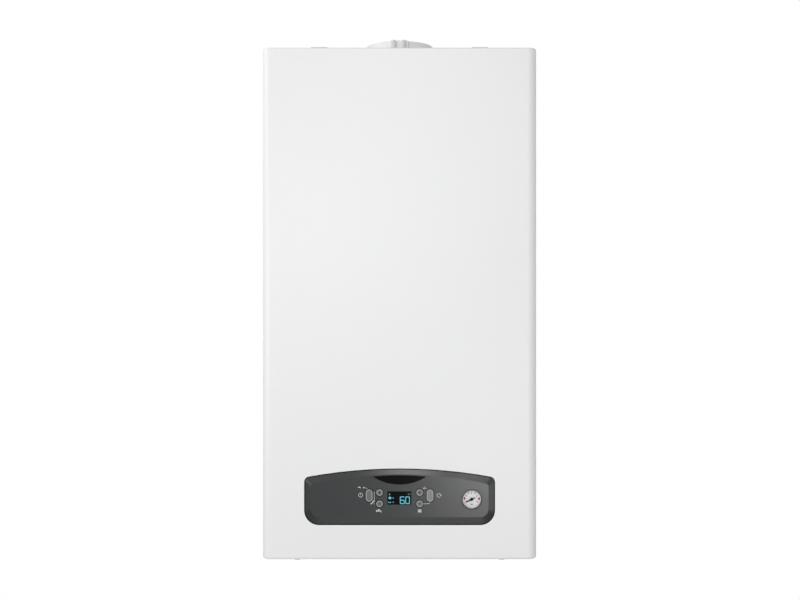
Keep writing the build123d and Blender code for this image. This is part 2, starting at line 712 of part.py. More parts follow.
def gas_valve():
    """Modulating gas valve under the mixing elbow."""
    x = FAN_X
    low = up(FAN_H - 118)
    body = slab(x - 30, x + 30, VALVE_DEPTH - 44, VALVE_DEPTH + 14, low, low + 64)
    body = fillet(body.edges().filter_by(Axis.Y), 6)
    body += rod_z(x, VALVE_DEPTH, low + 64, up(FAN_H - ELBOW_RADIUS + 4), 9)
    for dx in (-15, 15):
        coil = rod_y(x + dx, low + 40, VALVE_DEPTH + 14, VALVE_DEPTH + 48, 13)
        body += fillet(coil.edges().sort_by(Axis.Y)[0], 2)
    body += rod_y(x, low + 14, VALVE_DEPTH + 14, VALVE_DEPTH + 22, 8)
    body += slab(x + 30, x + 42, VALVE_DEPTH - 34, VALVE_DEPTH + 4, low + 18, low + 48)
    body += slab(x - 22, x + 22, VALVE_DEPTH - 21, VALVE_DEPTH + 9, low - 4, low)
    return body - rod_y(x, up(FAN_H), VALVE_DEPTH - 20, VALVE_DEPTH + 20, ELBOW_RADIUS)


def gas_pipe():
    """Steel pipe from the gas connection to the valve."""
    d = PORT_DEPTH
    far = VALVE_DEPTH - 4
    high = FAN_H - 122
    pts = [(0, d, up(30)), (0, d, up(60)), (0, far, up(60)), (0, far, up(high - 20))]
    pts += [(FAN_X, far, up(high - 20)), (FAN_X, far, up(high))]
    body = tube(pts, PIPE_RADIUS, 15)
    body += hex_z(0, d, up(26), up(38), 30)
    body += rod_z(0, d, up(-PORT_DROP), up(26), THREAD_BIG) + seat(0, THREAD_BIG)
    body += hex_z(FAN_X, far, up(high - 10), up(high), 27)
    return body


# ---- hydraulics ----
def expansion_vessel():
    """Flat expansion vessel behind everything else."""
    wide = 2 * IN_HALF - 67.6
    plan = Pos(0, up(420)) * RectangleRounded(wide, 440, 60)
    body = prism(plan, 16, 92)
    body = fillet(body.faces().sort_by(Axis.Y)[0].edges(), 24)
    rim = Pos(0, up(420)) * RectangleRounded(wide + 8, 448, 64)
    body += prism(rim, 51, 57)
    body += rod_z(40, 54, up(192), up(210), 9)
    body += rod_y(-110, up(250), 90, 97, 7)
    core = prism(Pos(0, up(420)) * RectangleRounded(wide - 4, 436, 58), 18, 90)
    return body - fillet(core.faces().sort_by(Axis.Y)[0].edges(), 22)


def vessel_hose():
    """Braided hose from the vessel to the return block."""
    pts = [(40, 54, up(192)), (40, 54, up(150)), (PORT_PITCH * 1.5, 54, up(150))]
    pts += [(PORT_PITCH * 1.5, PORT_DEPTH, up(150)), (PORT_PITCH * 1.5, PORT_DEPTH, up(92))]
    body = tube(pts, 5.5, 16)
    body += hex_z(40, 54, up(178), up(192), 17)
    body += hex_z(PORT_PITCH * 1.5, PORT_DEPTH, up(92), up(106), 17)
    return body


def pump_body():
    """Brass volute of the circulation pump."""
    x = 2 * PORT_PITCH
    z = up(PUMP_H)
    d = PORT_DEPTH
    body = rod_y(x, z, d - 24, d + 26, 42)
    body = fillet(body.edges().sort_by(Axis.Y)[-1], 6)
    body += rod_z(x, d, z - 43, z, 15)
    body += rod_z(x, d, z, z + 45, 15)
    body += hex_z(x, d, z + 33, z + 45, 36)
    body += rod_y(x, z, d + 20, d + 26, 48)
    body -= rod_y(x, z, d - 14, d + 27, 35)
    body -= rod_z(x, d, z - 45, z + 47, 9)
    return body


def pump_motor():
    """Wet-running motor with its electronics head."""
    x = 2 * PORT_PITCH
    z = up(PUMP_H)
    d = PORT_DEPTH + 26
    body = rod_y(x, z, d, d + 34, 45)
    body += round_box(x - 46, x + 46, d + 30, d + 66, z - 46, z + 46, 6)
    body += rod_y(x, z, d + 60, d + 69, 12)
    body -= rod_y(x, z, d - 1, d + 21, 5 + RUN)
    for a in range(0, 360, 60):
        px = x + 41 * cos(radians(a + 30))
        pz = z + 41 * sin(radians(a + 30))
        body += rod_y(px, pz, d, d + 12, 5)
    return body


def pump_impeller():
    """Closed impeller on its shaft."""
    x = 2 * PORT_PITCH
    z = up(PUMP_H)
    d = PORT_DEPTH
    body = rod_y(x, z, d - 10, d - 8, 30) + rod_y(x, z, d + 4, d + 6, 30)
    body += rod_y(x, z, d - 10, d + 6, 9)
    for a in range(0, 360, 45):
        vane = slab(x + 6, x + 29, d - 9, d + 5, z - 1, z + 1)
        body += Pos(x, 0, z) * Rot(0, a, 0) * Pos(-x, 0, -z) * vane
    body += rod_y(x, z, d + 5, d + 45, 5)
    return body


def return_manifold():
    """Brass block: heating return, cold inlet, filling link, side outlet."""
    x0 = PORT_PITCH
    x1 = 2 * PORT_PITCH
    xm = (x0 + x1) / 2
    d = PORT_DEPTH
    body = rod_z(x1, d, up(-PORT_DROP), up(20), THREAD_BIG) + seat(x1, THREAD_BIG)
    body += rod_z(x1, d, up(20), up(PUMP_H - 43), 15)
    body += hex_z(x1, d, up(PUMP_H - 59), up(PUMP_H - 43), 38)
    body += hex_z(x1, d, up(14), up(26), 34)
    body += rod_z(x0, d, up(-PORT_DROP), up(20), THREAD_SMALL) + seat(x0, THREAD_SMALL)
    body += rod_z(x0, d, up(14), up(104), 13)
    body += hex_z(x0, d, up(14), up(26), 28)
    body += slab(x0, x1, d - 12, d + 12, up(54), up(78))
    body += rod_z(xm, d, up(60), up(92), 9)
    body += slab(xm - 11, xm + 11, d, d + 32, up(56), up(76))
    body += rod_z(xm, d + 20, up(44), up(60), 9)
    body += rod_y(x0, up(95), 112, d, 11)
    body += rod_y(x1, up(150), 96, d, 11)
    body += rod_x(x1, 2 * PORT_PITCH + 31, d, up(110), 8)
    body += rod_y(2 * PORT_PITCH + 31, up(110), d - 12, d + 12, 12)
    body -= rod_z(xm, d + 20, up(40), up(70), 5 + RUN)
    body -= rod_y(2 * PORT_PITCH + 31, up(110), d, d + 13, 8)
    return body


def flow_manifold():
    """Brass block: heating flow, hot-water outlet and diverter seat."""
    x0 = -2 * PORT_PITCH
    x1 = -PORT_PITCH
    xm = (x0 + x1) / 2
    d = PORT_DEPTH
    body = rod_z(x0, d, up(-PORT_DROP), up(20), THREAD_BIG) + seat(x0, THREAD_BIG)
    body += rod_z(x0, d, up(14), up(176), 15)
    body += hex_z(x0, d, up(162), up(176), 38)
    body += hex_z(x0, d, up(14), up(26), 34)
    body += rod_z(x1, d, up(-PORT_DROP), up(20), THREAD_SMALL) + seat(x1, THREAD_SMALL)
    body += rod_z(x1, d, up(14), up(104), 13)
    body += hex_z(x1, d, up(14), up(26), 28)
    body += rod_x(x0, x1, d, up(120), 14)
    body += rod_z(x1, d, up(100), up(136), 13)
    body += rod_y(xm, up(120), 113, 152, 17)
    body += rod_y(x1, up(95), 112, d, 11)
    body -= rod_y(xm, up(120), 116, 142, 12)
    body -= rod_y(xm, up(120), 140, 153, 4 + RUN)
    return body


def diverter_motor():
    """Motor that drives the diverter's spindle."""
    xm = -1.5 * PORT_PITCH
    body = round_box(xm - 26, xm + 26, 156, 212, up(94), up(146), 5)
    body += rod_y(xm, up(120), 152, 158, 12)
    body += slab(xm - 8, xm + 8, 170, 196, up(84), up(95))
    return body - rod_y(xm, up(120), 150, 190, 4 + RUN)


def diverter_spindle():
    """Spindle and double valve disc."""
    xm = -1.5 * PORT_PITCH
    body = rod_y(xm, up(120), 118.5, 121.5, 10) + rod_y(xm, up(120), 127, 130, 10)
    return body + rod_y(xm, up(120), 118, 176, 4)


def plate_exchanger():
    """Brazed stack of plates for the hot water."""
    body = None
    for i in range(12):
        d = 44 + 5.5 * i
        plate = prism(Pos(0, up(95)) * RectangleRounded(196, 52, 14), d, d + 3.2)
        core = prism(Pos(0, up(95)) * RectangleRounded(190, 46, 12), d + 3.2, d + 5.5)
        body = plate + core if body is None else body + plate + core
    body += prism(Pos(0, up(95)) * RectangleRounded(196, 52, 14), 110, 112)
    return body


def safety_valve():
    """Spring-loaded relief valve on the return block."""
    x = 2 * PORT_PITCH + 31
    body = hex_y(x, up(110), PORT_DEPTH + 12, PORT_DEPTH + 22, 24)
    body += rod_y(x, up(110), PORT_DEPTH, PORT_DEPTH + 14, 8)
    body += rod_y(x, up(110), PORT_DEPTH + 22, PORT_DEPTH + 42, 12)
    return body - rod_y(x, up(110), PORT_DEPTH + 30, PORT_DEPTH + 44, 4 + RUN)


def safety_valve_knob():
    """Lobed turning knob of the relief valve."""
    x = 2 * PORT_PITCH + 31
    z = up(110)
    d0 = PORT_DEPTH + 42.2
    body = rod_y(x, z, d0, d0 + 15, 14)
    for a in range(0, 360, 45):
        body -= rod_y(x + 16 * cos(radians(a)), z + 16 * sin(radians(a)), d0 + 2, d0 + 16, 3.4)
    return body + rod_y(x, z, d0 - 11, d0 + 1, 4)


def fill_tap_knob():
    """Filling tap turned from below the casing."""
    x = 1.5 * PORT_PITCH
    d = PORT_DEPTH + 20
    body = rod_z(x, d, up(-30), up(-14), 11)
    for a in range(0, 360, 60):
        body -= rod_z(x + 13 * cos(radians(a)), d + 13 * sin(radians(a)), up(-31), up(-16), 4)
    body += rod_z(x, d, up(-15), up(66), 5)
    return body + rod_z(x, d, up(34), up(43.8), 8)


def flow_pipe():
    """Copper pipe from the exchanger down to the diverter."""
    x = -2 * PORT_PITCH
    d = PORT_DEPTH
    high = stub_list()[0][2]
    pts = [(x, d, up(176)), (x, d, up(222)), (x, d + 34, up(222)), (x, d + 34, up(high - 44))]
    pts += [(x, d, up(high - 44)), (x, d, up(high))]
    body = tube(pts, PIPE_RADIUS, 16)
    body += hex_z(x, d, up(176), up(190), 30)
    return body + hex_z(x, d, up(high - 12), up(high), 27)


def return_pipe():
    """Copper pipe from the pump up to the exchanger."""
    x = 2 * PORT_PITCH
    d = PORT_DEPTH
    end, _, high = stub_list()[1]
    low = PUMP_H + 45
    bend = (low + high) / 2
    pts = [(x, d, up(low)), (x, d, up(bend)), (end, d, up(bend)), (end, d, up(high))]
    body = tube(pts, PIPE_RADIUS, 16)
    body += hex_z(x, d, up(low), up(low + 13), 30)
    return body + hex_z(end, d, up(high - 12), up(high), 27)


def condensate_trap():
    """Siphon with its drain spigot."""
    x = -TRAP_X
    d = TRAP_DEPTH
    top = up(TRAP_TOP)
    body = rod_z(x, d, up(50), top - 8, 22)
    body += rod_z(x, d, up(34), up(66), 25)
    body += rod_z(x, d, top - 20, top - 14, 25)
    body += cone_z(x, d, up(20), up(34), DRAIN_RADIUS, 25)
    body += rod_z(x, d, up(-20), up(21), DRAIN_RADIUS)
    body += rod_z(x, d, top - 14, top, 10)
    body -= rod_z(x, d, up(60), top - 19, 19)
    return body - rod_z(x, d, up(-21), top + 1, 7)


def condensate_hose():
    """Ribbed hose from the exchanger's sump to the trap."""
    x = -TRAP_X
    d = TRAP_DEPTH
    end, _, high = stub_list()[2]
    run = (high + TRAP_TOP) / 2 - 22
    pts = [(end, d, up(high)), (end, d, up(run)), (x, d, up(run)), (x, d, up(TRAP_TOP))]
    body = tube(pts, 8.5, 20)
    for i in range(int((high - run - 34) // 8)):
        body += rod_z(end, d, up(run + 28 + 8 * i), up(run + 32 + 8 * i), 10)
    for i in range(int((run - TRAP_TOP - 26) // 8)):
        body += rod_z(x, d, up(TRAP_TOP + 6 + 8 * i), up(TRAP_TOP + 10 + 8 * i), 10)
    return body + rod_z(end, d, up(high - 12), up(high), 11.5)


# ---- control box ----
def control_housing():
    """Tray that carries the electronics and folds forward."""
    w = BOX_WALL
    body = slab(-BOX_HALF, BOX_HALF, BOX_BACK, BOX_FRONT, up(BOX_LOW), up(BOX_HIGH))
    edges = body.edges().filter_by(Axis.Y) + body.faces().sort_by(Axis.Y)[-1].edges()
    body = fillet(edges, 4)
    body -= slab(-BOX_HALF + w, BOX_HALF - w, BOX_BACK + w, BOX_FRONT + 1, up(BOX_LOW) + w, up(BOX_HIGH) - w)
    body += twice(rod_x(BOX_HALF - w, BOX_HALF + 4.2, PIVOT_DEPTH, up(PIVOT_H), PIVOT_RADIUS))
    for x in (-130, 0, 130):
        for h in (50, 120):
            body += rod_y(x, up(h), BOX_BACK + w - 0.5, BOX_BACK + 9, 4)
    for x in (-120, -80, -40, 40, 80, 120):
        body -= slab(x - 12, x + 12, BOX_BACK + 14, BOX_FRONT - 30, up(BOX_HIGH) - 6, up(BOX_HIGH) + 3)
    for x in (60, 100, 140):
        body -= rod_z(x, BOX_BACK + 20, up(BOX_LOW) - 3, up(BOX_LOW) + 6, 8)
    return body


def control_fascia():
    """Grey moulded front of the control box."""
    w = BOX_WALL + 0.2
    x = BOX_HALF - w
    body = slab(-x, x, BOX_FACE, BOX_FRONT, up(BOX_LOW) + w, up(BOX_HIGH) - w)
    body += prism(facia_outline(), BOX_FRONT - 0.1, SLOPE_BACK)
    low = front(SLOPE_BACK) * facia_outline()
    high = front(PLATEAU) * plateau_outline()
    body += loft([low, high], ruled=True)
    body -= prism(plateau_outline(1.2), BOX_FACE - 1, PLATEAU_BACK)
    half = LCD_HEIGHT / 2
    body -= slab(-LCD_WIDTH / 2, LCD_WIDTH / 2, PLATEAU - 6, PLATEAU + 4, up(LCD_H) - half, up(LCD_H) + half)
    body -= prism(crescent(), PLATEAU - 1.0, PLATEAU + 2)
    for px, pz, sketch in button_list(BUTTON_GAP):
        body -= Pos(px, 0, pz) * prism(sketch, PLATEAU - 6, PLATEAU + 4)
    body -= rod_y(GAUGE_X, up(GAUGE_H), PLATEAU - 6, PLATEAU + 4, GAUGE_RADIUS + 0.2)
    for px in (-58, 58):
        for h in (72, 106):
            body += rod_y(px, up(h), BOARD_FRONT, PLATEAU_BACK + 0.5, 3)
    return body


def crescent():
    """Blank glossy badge: shallow top arc, deep lower arc."""
    tip = 38.8
    high = up(FACIA_PEAK) - 10.0
    a = (-tip, high)
    b = (tip, high)
    edges = [ThreePointArc(a, (0, high + 1.9), b), ThreePointArc(b, (0, high - 11.5), a)]
    return make_face(edges)


def badge_insert():
    return prism(crescent(), PLATEAU - 1.0, PLATEAU + 0.3)


def display_window():
    """Glossy display with a flange behind the front."""
    z = up(LCD_H)
    x = LCD_WIDTH / 2
    h = LCD_HEIGHT / 2
    body = slab(-x, x, PLATEAU_BACK - 1.5, PLATEAU - 0.3, z - h, z + h)
    return body + slab(-x - 2, x + 2, PLATEAU_BACK - 1.5, PLATEAU_BACK, z - h - 2, z + h + 2)


def long_shape(grow):
    return Rot(0, 0, 90) * SlotOverall(LONG_HEIGHT + 2 * grow, LONG_WIDTH + 2 * grow)


def button_list(grow):
    """Positions and outlines of the six buttons."""
    ring = Circle(ROUND_RADIUS + grow)
    out = []
    for s in (-1, 1):
        out.append((s * ROUND_X, up(ROUND_HIGH), ring))
        out.append((s * ROUND_X, up(ROUND_LOW), ring))
        out.append((s * LONG_X, up(LONG_H), long_shape(grow)))
    return out


def round_button(x, z):
    cap = rod_y(0, 0, PLATEAU_BACK - 0.2, BUTTON_FRONT, ROUND_RADIUS)
    cap = fillet(cap.edges().sort_by(Axis.Y)[0], 0.5)
    cap += rod_y(0, 0, PLATEAU_BACK - 1.6, PLATEAU_BACK - 0.1, ROUND_RADIUS + 1.3)
    cap += rod_y(0, 0, SWITCH_TOP + BUTTON_TRAVEL + 0.3, PLATEAU_BACK - 1, 2.5)
    return Pos(x, 0, z) * cap


def long_button(x):
    cap = prism(long_shape(0), PLATEAU_BACK - 0.2, BUTTON_FRONT)
    cap = fillet(cap.faces().sort_by(Axis.Y)[0].edges(), 0.5)
    cap += prism(long_shape(1.3), PLATEAU_BACK - 1.6, PLATEAU_BACK - 0.1)
    cap += rod_y(0, 0, SWITCH_TOP + BUTTON_TRAVEL + 0.3, PLATEAU_BACK - 1, 2.5)
    return Pos(x, 0, up(LONG_H)) * cap


def display_board():
    """Small board behind the buttons with switches and display module."""
    d = BOARD_FRONT
    body = slab(-62, 62, BOARD_BACK, d, up(66), up(112))
    body += slab(-19, 19, d - 0.1, PLATEAU_BACK - 1.5, up(LCD_H) - 11, up(LCD_H) + 11)
    for px, pz, sketch in button_list(0):
        body += slab(px - 3, px + 3, d - 0.1, d + 2.4, pz - 3, pz + 3)
        body += rod_y(px, pz, d + 2.3, SWITCH_TOP, 1.7)
    body += slab(-50, -30, BOARD_BACK - 3, BOARD_BACK + 0.1, up(70), up(76))
    return body


def main_board():
    """Power board with its transformer, relays and connectors."""
    d = BOX_BACK + 9
    body = slab(-150, 150, d, d + 1.6, up(36), up(134))
    body += slab(-140, -96, d + 1, d + 36, up(78), up(118))
    for x in (-70, -44, -18):
        body += slab(x, x + 16, d + 1, d + 17, up(100), up(128))
    for x in (20, 42, 64):
        body += rod_y(x, up(112), d + 1, d + 24, 8)
    for x in range(-130, 131, 26):
        body += slab(x - 10, x + 10, d + 1, d + 13, up(38), up(48))
    body += slab(90, 130, d + 1, d + 8, up(80), up(120))
    return body


def gauge_body():
    """Cup of the pressure gauge."""
    z = up(GAUGE_H)
    bed = PLATEAU - GAUGE_BED
    body = rod_y(GAUGE_X, z, bed - 23.5, PLATEAU + 0.4, GAUGE_RADIUS)
    body += rod_y(GAUGE_X, z, bed - 27.5, bed - 7.5, 19)
    body += rod_y(GAUGE_X, z, bed - 33.5, bed - 27, 5)
    body -= rod_y(GAUGE_X, z, bed, PLATEAU + 2, GAUGE_RADIUS - GAUGE_WALL)
    return body - rod_y(GAUGE_X, z, bed - 4.5, bed + 0.5, 0.8 + RUN)


def gauge_dial():
    z = up(GAUGE_H)
    bed = PLATEAU - GAUGE_BED
    body = rod_y(GAUGE_X, z, bed, bed + 1, GAUGE_RADIUS - GAUGE_WALL)
    return body - rod_y(GAUGE_X, z, bed - 1, bed + 2, 0.8 + RUN)


def gauge_needle():
    """Pointer at rest on nought."""
    z = up(GAUGE_H)
    a = radians(NEEDLE_ANGLE)
    bed = PLATEAU - GAUGE_BED
    body = rod_y(GAUGE_X, z, bed - 4, bed + 2.7, 0.8)
    body += rod_y(GAUGE_X, z, bed + 1.5, bed + 2.7, 1.9)
    tip = (NEEDLE_LENGTH * cos(a), NEEDLE_LENGTH * sin(a))
    tail = (-5.5 * cos(a), -5.5 * sin(a))
    nx = -sin(a)
    ny = cos(a)
    outline = Polygon(
        (tip[0] + 0.3 * nx, tip[1] + 0.3 * ny),
        (0.8 * nx, 0.8 * ny),
        (tail[0] + 0.25 * nx, tail[1] + 0.25 * ny),
        (tail[0] - 0.25 * nx, tail[1] - 0.25 * ny),
        (-0.8 * nx, -0.8 * ny),
        (tip[0] - 0.3 * nx, tip[1] - 0.3 * ny),
        align=None,
    )
    return body + Pos(GAUGE_X, 0, z) * prism(outline, bed + 1.6, bed + 2.3)


def gauge_lens():
    bed = PLATEAU - GAUGE_BED
    return rod_y(GAUGE_X, up(GAUGE_H), bed + 3.5, bed + 4.5, GAUGE_RADIUS - GAUGE_WALL)


PARTS = {
    "back_frame": back_frame,
    "wall_bracket": wall_bracket,
    "side_panel_left": lambda: side_panel(-1),
    "side_panel_right": lambda: side_panel(1),
    "top_plate": top_plate,
    "bottom_plate": bottom_plate,
    "top_rail": top_rail,
    "bottom_rail": bottom_rail,
    "front_cover": front_cover,
    "cover_seal": cover_seal,
    "casing_screws": casing_screws,
    "flue_collar": flue_collar,
    "sampling_plugs": sampling_plugs,
    "intake_caps": intake_caps,
    "flue_duct": flue_duct,
    "exchanger_shell": exchanger_shell,
    "exchanger_coil": exchanger_coil,
    "burner": burner,
    "burner_door": burner_door,
    "door_nuts": door_nuts,
    "ignition_electrode": ignition_electrode,
    "fan_housing": fan_housing,
    "fan_impeller": fan_impeller,
    "fan_motor": fan_motor,
    "air_silencer": air_silencer,
    "gas_valve": gas_valve,
    "gas_pipe": gas_pipe,
    "expansion_vessel": expansion_vessel,
    "vessel_hose": vessel_hose,
    "pump_body": pump_body,
    "pump_motor": pump_motor,
    "pump_impeller": pump_impeller,
    "return_manifold": return_manifold,
    "flow_manifold": flow_manifold,
    "diverter_motor": diverter_motor,
    "diverter_spindle": diverter_spindle,
    "plate_exchanger": plate_exchanger,
    "safety_valve": safety_valve,
    "safety_valve_knob": safety_valve_knob,
    "fill_tap_knob": fill_tap_knob,
    "flow_pipe": flow_pipe,
    "return_pipe": return_pipe,
    "condensate_trap": condensate_trap,
    "condensate_hose": condensate_hose,
    "control_housing": control_housing,
    "control_fascia": control_fascia,
    "badge_insert": badge_insert,
    "display_window": display_window,
    "display_board": display_board,
    "main_board": main_board,
    "button_mode": lambda: long_button(-LONG_X),
    "button_reset": lambda: long_button(LONG_X),
    "button_hot_water_plus": lambda: round_button(-ROUND_X, up(ROUND_HIGH)),
    "button_hot_water_minus": lambda: round_button(-ROUND_X, up(ROUND_LOW)),
    "button_heating_plus": lambda: round_button(ROUND_X, up(ROUND_HIGH)),
    "button_heating_minus": lambda: round_button(ROUND_X, up(ROUND_LOW)),
    "gauge_body": gauge_body,
    "gauge_dial": gauge_dial,
    "gauge_needle": gauge_needle,
    "gauge_lens": gauge_lens,
}

os.makedirs("parts", exist_ok=True)
for name, maker in PARTS.items():
    shape = maker()
    if not isinstance(shape, (Part, Compound, Solid)):
        shape = Part(shape)
    export_step(shape, "parts/" + name + ".step")
    print(name, len(shape.solids()), round(shape.volume))
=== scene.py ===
"""Looks of the wall-hung boiler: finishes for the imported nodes, the printing
on the control panel and gauge, the lit display, threads, light and camera.

Drawings on the front are in millimetres, x across from the middle and h above
the foot of the casing, as seen from the front. Everything else is in metres."""
import json
import math

import bpy
import numpy as np
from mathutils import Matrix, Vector


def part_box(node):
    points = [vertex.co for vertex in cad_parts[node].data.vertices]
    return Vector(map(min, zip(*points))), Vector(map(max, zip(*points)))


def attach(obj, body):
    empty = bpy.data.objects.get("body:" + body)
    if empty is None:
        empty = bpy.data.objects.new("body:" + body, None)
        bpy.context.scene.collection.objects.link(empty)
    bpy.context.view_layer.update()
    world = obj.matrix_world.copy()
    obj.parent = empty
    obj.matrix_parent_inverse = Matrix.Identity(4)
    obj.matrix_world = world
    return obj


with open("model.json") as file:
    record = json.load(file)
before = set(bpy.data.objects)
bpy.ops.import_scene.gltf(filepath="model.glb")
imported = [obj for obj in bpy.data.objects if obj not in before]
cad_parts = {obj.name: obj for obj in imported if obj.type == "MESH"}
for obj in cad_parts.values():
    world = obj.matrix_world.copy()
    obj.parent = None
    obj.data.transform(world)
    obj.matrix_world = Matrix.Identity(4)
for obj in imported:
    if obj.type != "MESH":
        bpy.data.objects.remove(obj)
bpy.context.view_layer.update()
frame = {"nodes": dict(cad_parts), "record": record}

NODES = frame["nodes"]
MM = 0.001


# ------------------------------------------------- places from the frame
def front(node):
    """Depth of a node's front face, to the nearest hundredth of a millimetre."""
    return round(-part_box(node)[0].y, 5)


def middle(node):
    """Centre of a node seen from the front, to the nearest tenth of a millimetre."""
    low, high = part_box(node)
    return round((low.x + high.x) / 2 / MM, 1), round(((low.z + high.z) / 2 - BOTTOM) / MM, 1)


def button_size(node):
    """Half the width of a button, and half the straight run between its round ends."""
    low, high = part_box(node)
    half = round((high.x - low.x) / 2 / MM, 2)
    return half, round((high.z - low.z) / 2 / MM - half, 2)


BOTTOM = round(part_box("bottom_plate")[0].z, 5)
PLATEAU = front("control_fascia")
DISPLAY_FACE = front("display_window")
BUTTON_FACE = front("button_mode")
DIAL_FACE = front("gauge_dial")
GAUGE = middle("gauge_dial")

# the drawn blade starts behind the face of the needle's hub, just inside the imported blade,
# and the painted gap shadow lies inside the thickness of the cover's sheet
BLADE_INSET = 0.5 * MM
NEEDLE_FACE = front("gauge_needle") - BLADE_INSET
GAP_SHADOW_THICK = 1.0 * MM
GAP_SHADOW_INSET = 0.1 * MM
GAP_SHADOW_BACK = front("front_cover") - GAP_SHADOW_INSET - GAP_SHADOW_THICK

# outline of the panel in the cover: an arc on a low box with rounded corners,
# and how far the inner and outer outlines of the painted gap shadow stand off it
PANEL_HALF = 137.3
PANEL_LOW = 51.8
PANEL_PEAK = 131.2
PANEL_ARC = 743.0
TOP_ROUND = 6.5
LOW_ROUND = 20.0
GAP_SHADOW_INNER = 0.9
GAP_SHADOW_OUTER = 1.55

# prints and figures start a little inside the face that carries them; figures are
# lifted by the middle of their thickness, and LETTER_BOLD is a share of their size
INK_SUNK = 0.02 * MM
INK_THICK = 0.06 * MM
INK_DOUBLE = 0.08 * MM
LETTER_LIFT = 0.02 * MM
LETTER_HALF = 0.04 * MM
LETTER_BOLD = 0.03
FINE_LINE = 0.45

# pipe stubs under the casing: pitch and depth, radii, and the reach of the thread
PORT_PITCH = 0.067
PORT_DEPTH = 0.130
BIG_STUB = 0.01322
SMALL_STUB = 0.01048
THREAD_PITCH = 0.00181
THREAD_LOW = -21.8 * MM
THREAD_HIGH = -4.0 * MM


# ---------------------------------------------------------------- shader groups
COLOUR, FLOAT, VECTOR = "NodeSocketColor", "NodeSocketFloat", "NodeSocketVector"
# the mix node's colour sockets go by number, because its number sockets have the same names
MIX_FIRST, MIX_SECOND, MIX_COLOUR = 6, 7, 2
CLOUD_LOW, CLOUD_HIGH = 0.38, 0.66


def node_group(name, inputs, outputs):
    """Empty shader group with named sockets, and the two nodes at its ends."""
    group = bpy.data.node_groups.new(name, "ShaderNodeTree")
    for label, kind, value in inputs:
        group.interface.new_socket(label, in_out="INPUT", socket_type=kind).default_value = value
    for label, kind in outputs:
        group.interface.new_socket(label, in_out="OUTPUT", socket_type=kind)
    return group, group.nodes.new("NodeGroupInput"), group.nodes.new("NodeGroupOutput")


def preset(node, values):
    """Set constants on a node's own sockets."""
    for label, value in values.items():
        node.inputs[label].default_value = value


def combine(net, operation, first, second):
    """Math node on two sockets."""
    node = net.nodes.new("ShaderNodeMath")
    node.operation = operation
    net.links.new(first, node.inputs[0])
    net.links.new(second, node.inputs[1])
    return node.outputs[0]


def mix_colours(net, factor, first, second):
    """Mix node on two colours."""
    mix = net.nodes.new("ShaderNodeMix")
    mix.data_type = "RGBA"
    net.links.new(factor, mix.inputs["Factor"])
    net.links.new(first, mix.inputs[MIX_FIRST])
    net.links.new(second, mix.inputs[MIX_SECOND])
    return mix.outputs[MIX_COLOUR]


def noise(net, vector, detail):
    """Noise texture along a vector."""
    texture = net.nodes.new("ShaderNodeTexNoise")
    texture.inputs["Detail"].default_value = detail
    net.links.new(vector, texture.inputs["Vector"])
    return texture


def object_place(net):
    """Object coordinates."""
    return net.nodes.new("ShaderNodeTexCoord").outputs["Object"]


def tone_group():
    """Soft cloud that mixes a second colour into the first, by a share at most."""
    net, get, put = node_group(
        "Tone drift",
        [("Colour", COLOUR, (0.8, 0.8, 0.8, 1)), ("Second", COLOUR, (0.7, 0.7, 0.7, 1)),
         ("Scale", FLOAT, 12.0), ("Share", FLOAT, 0.3)],
        [("Colour", COLOUR)])
    cloud = noise(net, object_place(net), 4.0)
    net.links.new(get.outputs["Scale"], cloud.inputs["Scale"])
    spread = net.nodes.new("ShaderNodeMapRange")
    preset(spread, {"From Min": CLOUD_LOW, "From Max": CLOUD_HIGH})
    net.links.new(cloud.outputs["Fac"], spread.inputs["Value"])
    share = combine(net, "MULTIPLY", spread.outputs["Result"], get.outputs["Share"])
    tint = mix_colours(net, share, get.outputs["Colour"], get.outputs["Second"])
    net.links.new(tint, put.inputs["Colour"])
    return net


def grain_group():
    """Height of a moulded or sprayed skin: fine noise plus a coarser swell."""
    net, get, put = node_group(
        "Skin grain",
        [("Fine", FLOAT, 900.0), ("Coarse", FLOAT, 180.0), ("Swell", FLOAT, 0.5)],
        [("Height", FLOAT), ("Mask", FLOAT)])
    place = object_place(net)
    fine, coarse = noise(net, place, 2.0), noise(net, place, 2.0)
    net.links.new(get.outputs["Fine"], fine.inputs["Scale"])
    net.links.new(get.outputs["Coarse"], coarse.inputs["Scale"])
    swell = combine(net, "MULTIPLY", coarse.outputs["Fac"], get.outputs["Swell"])
    height = combine(net, "ADD", fine.outputs["Fac"], swell)
    net.links.new(height, put.inputs["Height"])
    net.links.new(coarse.outputs["Fac"], put.inputs["Mask"])
    return net


def marks_group():
    """Rolling marks: noise stretched along one direction of the sheet."""
    net, get, put = node_group(
        "Rolling marks",
        [("Stretch", VECTOR, (4.0, 4.0, 300.0)), ("Colour", COLOUR, (0.6, 0.6, 0.6, 1)),
         ("Second", COLOUR, (0.5, 0.5, 0.5, 1))],
        [("Colour", COLOUR), ("Height", FLOAT)])
    stretch = net.nodes.new("ShaderNodeMapping")
    net.links.new(object_place(net), stretch.inputs["Vector"])
    net.links.new(get.outputs["Stretch"], stretch.inputs["Scale"])
    lines = noise(net, stretch.outputs["Vector"], 3.0)
    lines.inputs["Scale"].default_value = 6.0
    tint = mix_colours(net, lines.outputs["Fac"], get.outputs["Colour"], get.outputs["Second"])
    net.links.new(tint, put.inputs["Colour"])
    net.links.new(lines.outputs["Fac"], put.inputs["Height"])
    return net


TONE = tone_group()
GRAIN = grain_group()
MARKS = marks_group()


# ---------------------------------------------------------------- finishes
def new_material(name):
    """Empty material, its node tree and its shader."""
    material = bpy.data.materials.new(name)
    material.use_nodes = True
    net = material.node_tree
    return material, net, net.nodes["Principled BSDF"]


def use_group(net, group, values):
    """Node of a group, with constants on its sockets."""
    node = net.nodes.new("ShaderNodeGroup")
    node.node_tree = group
    preset(node, values)
    return node


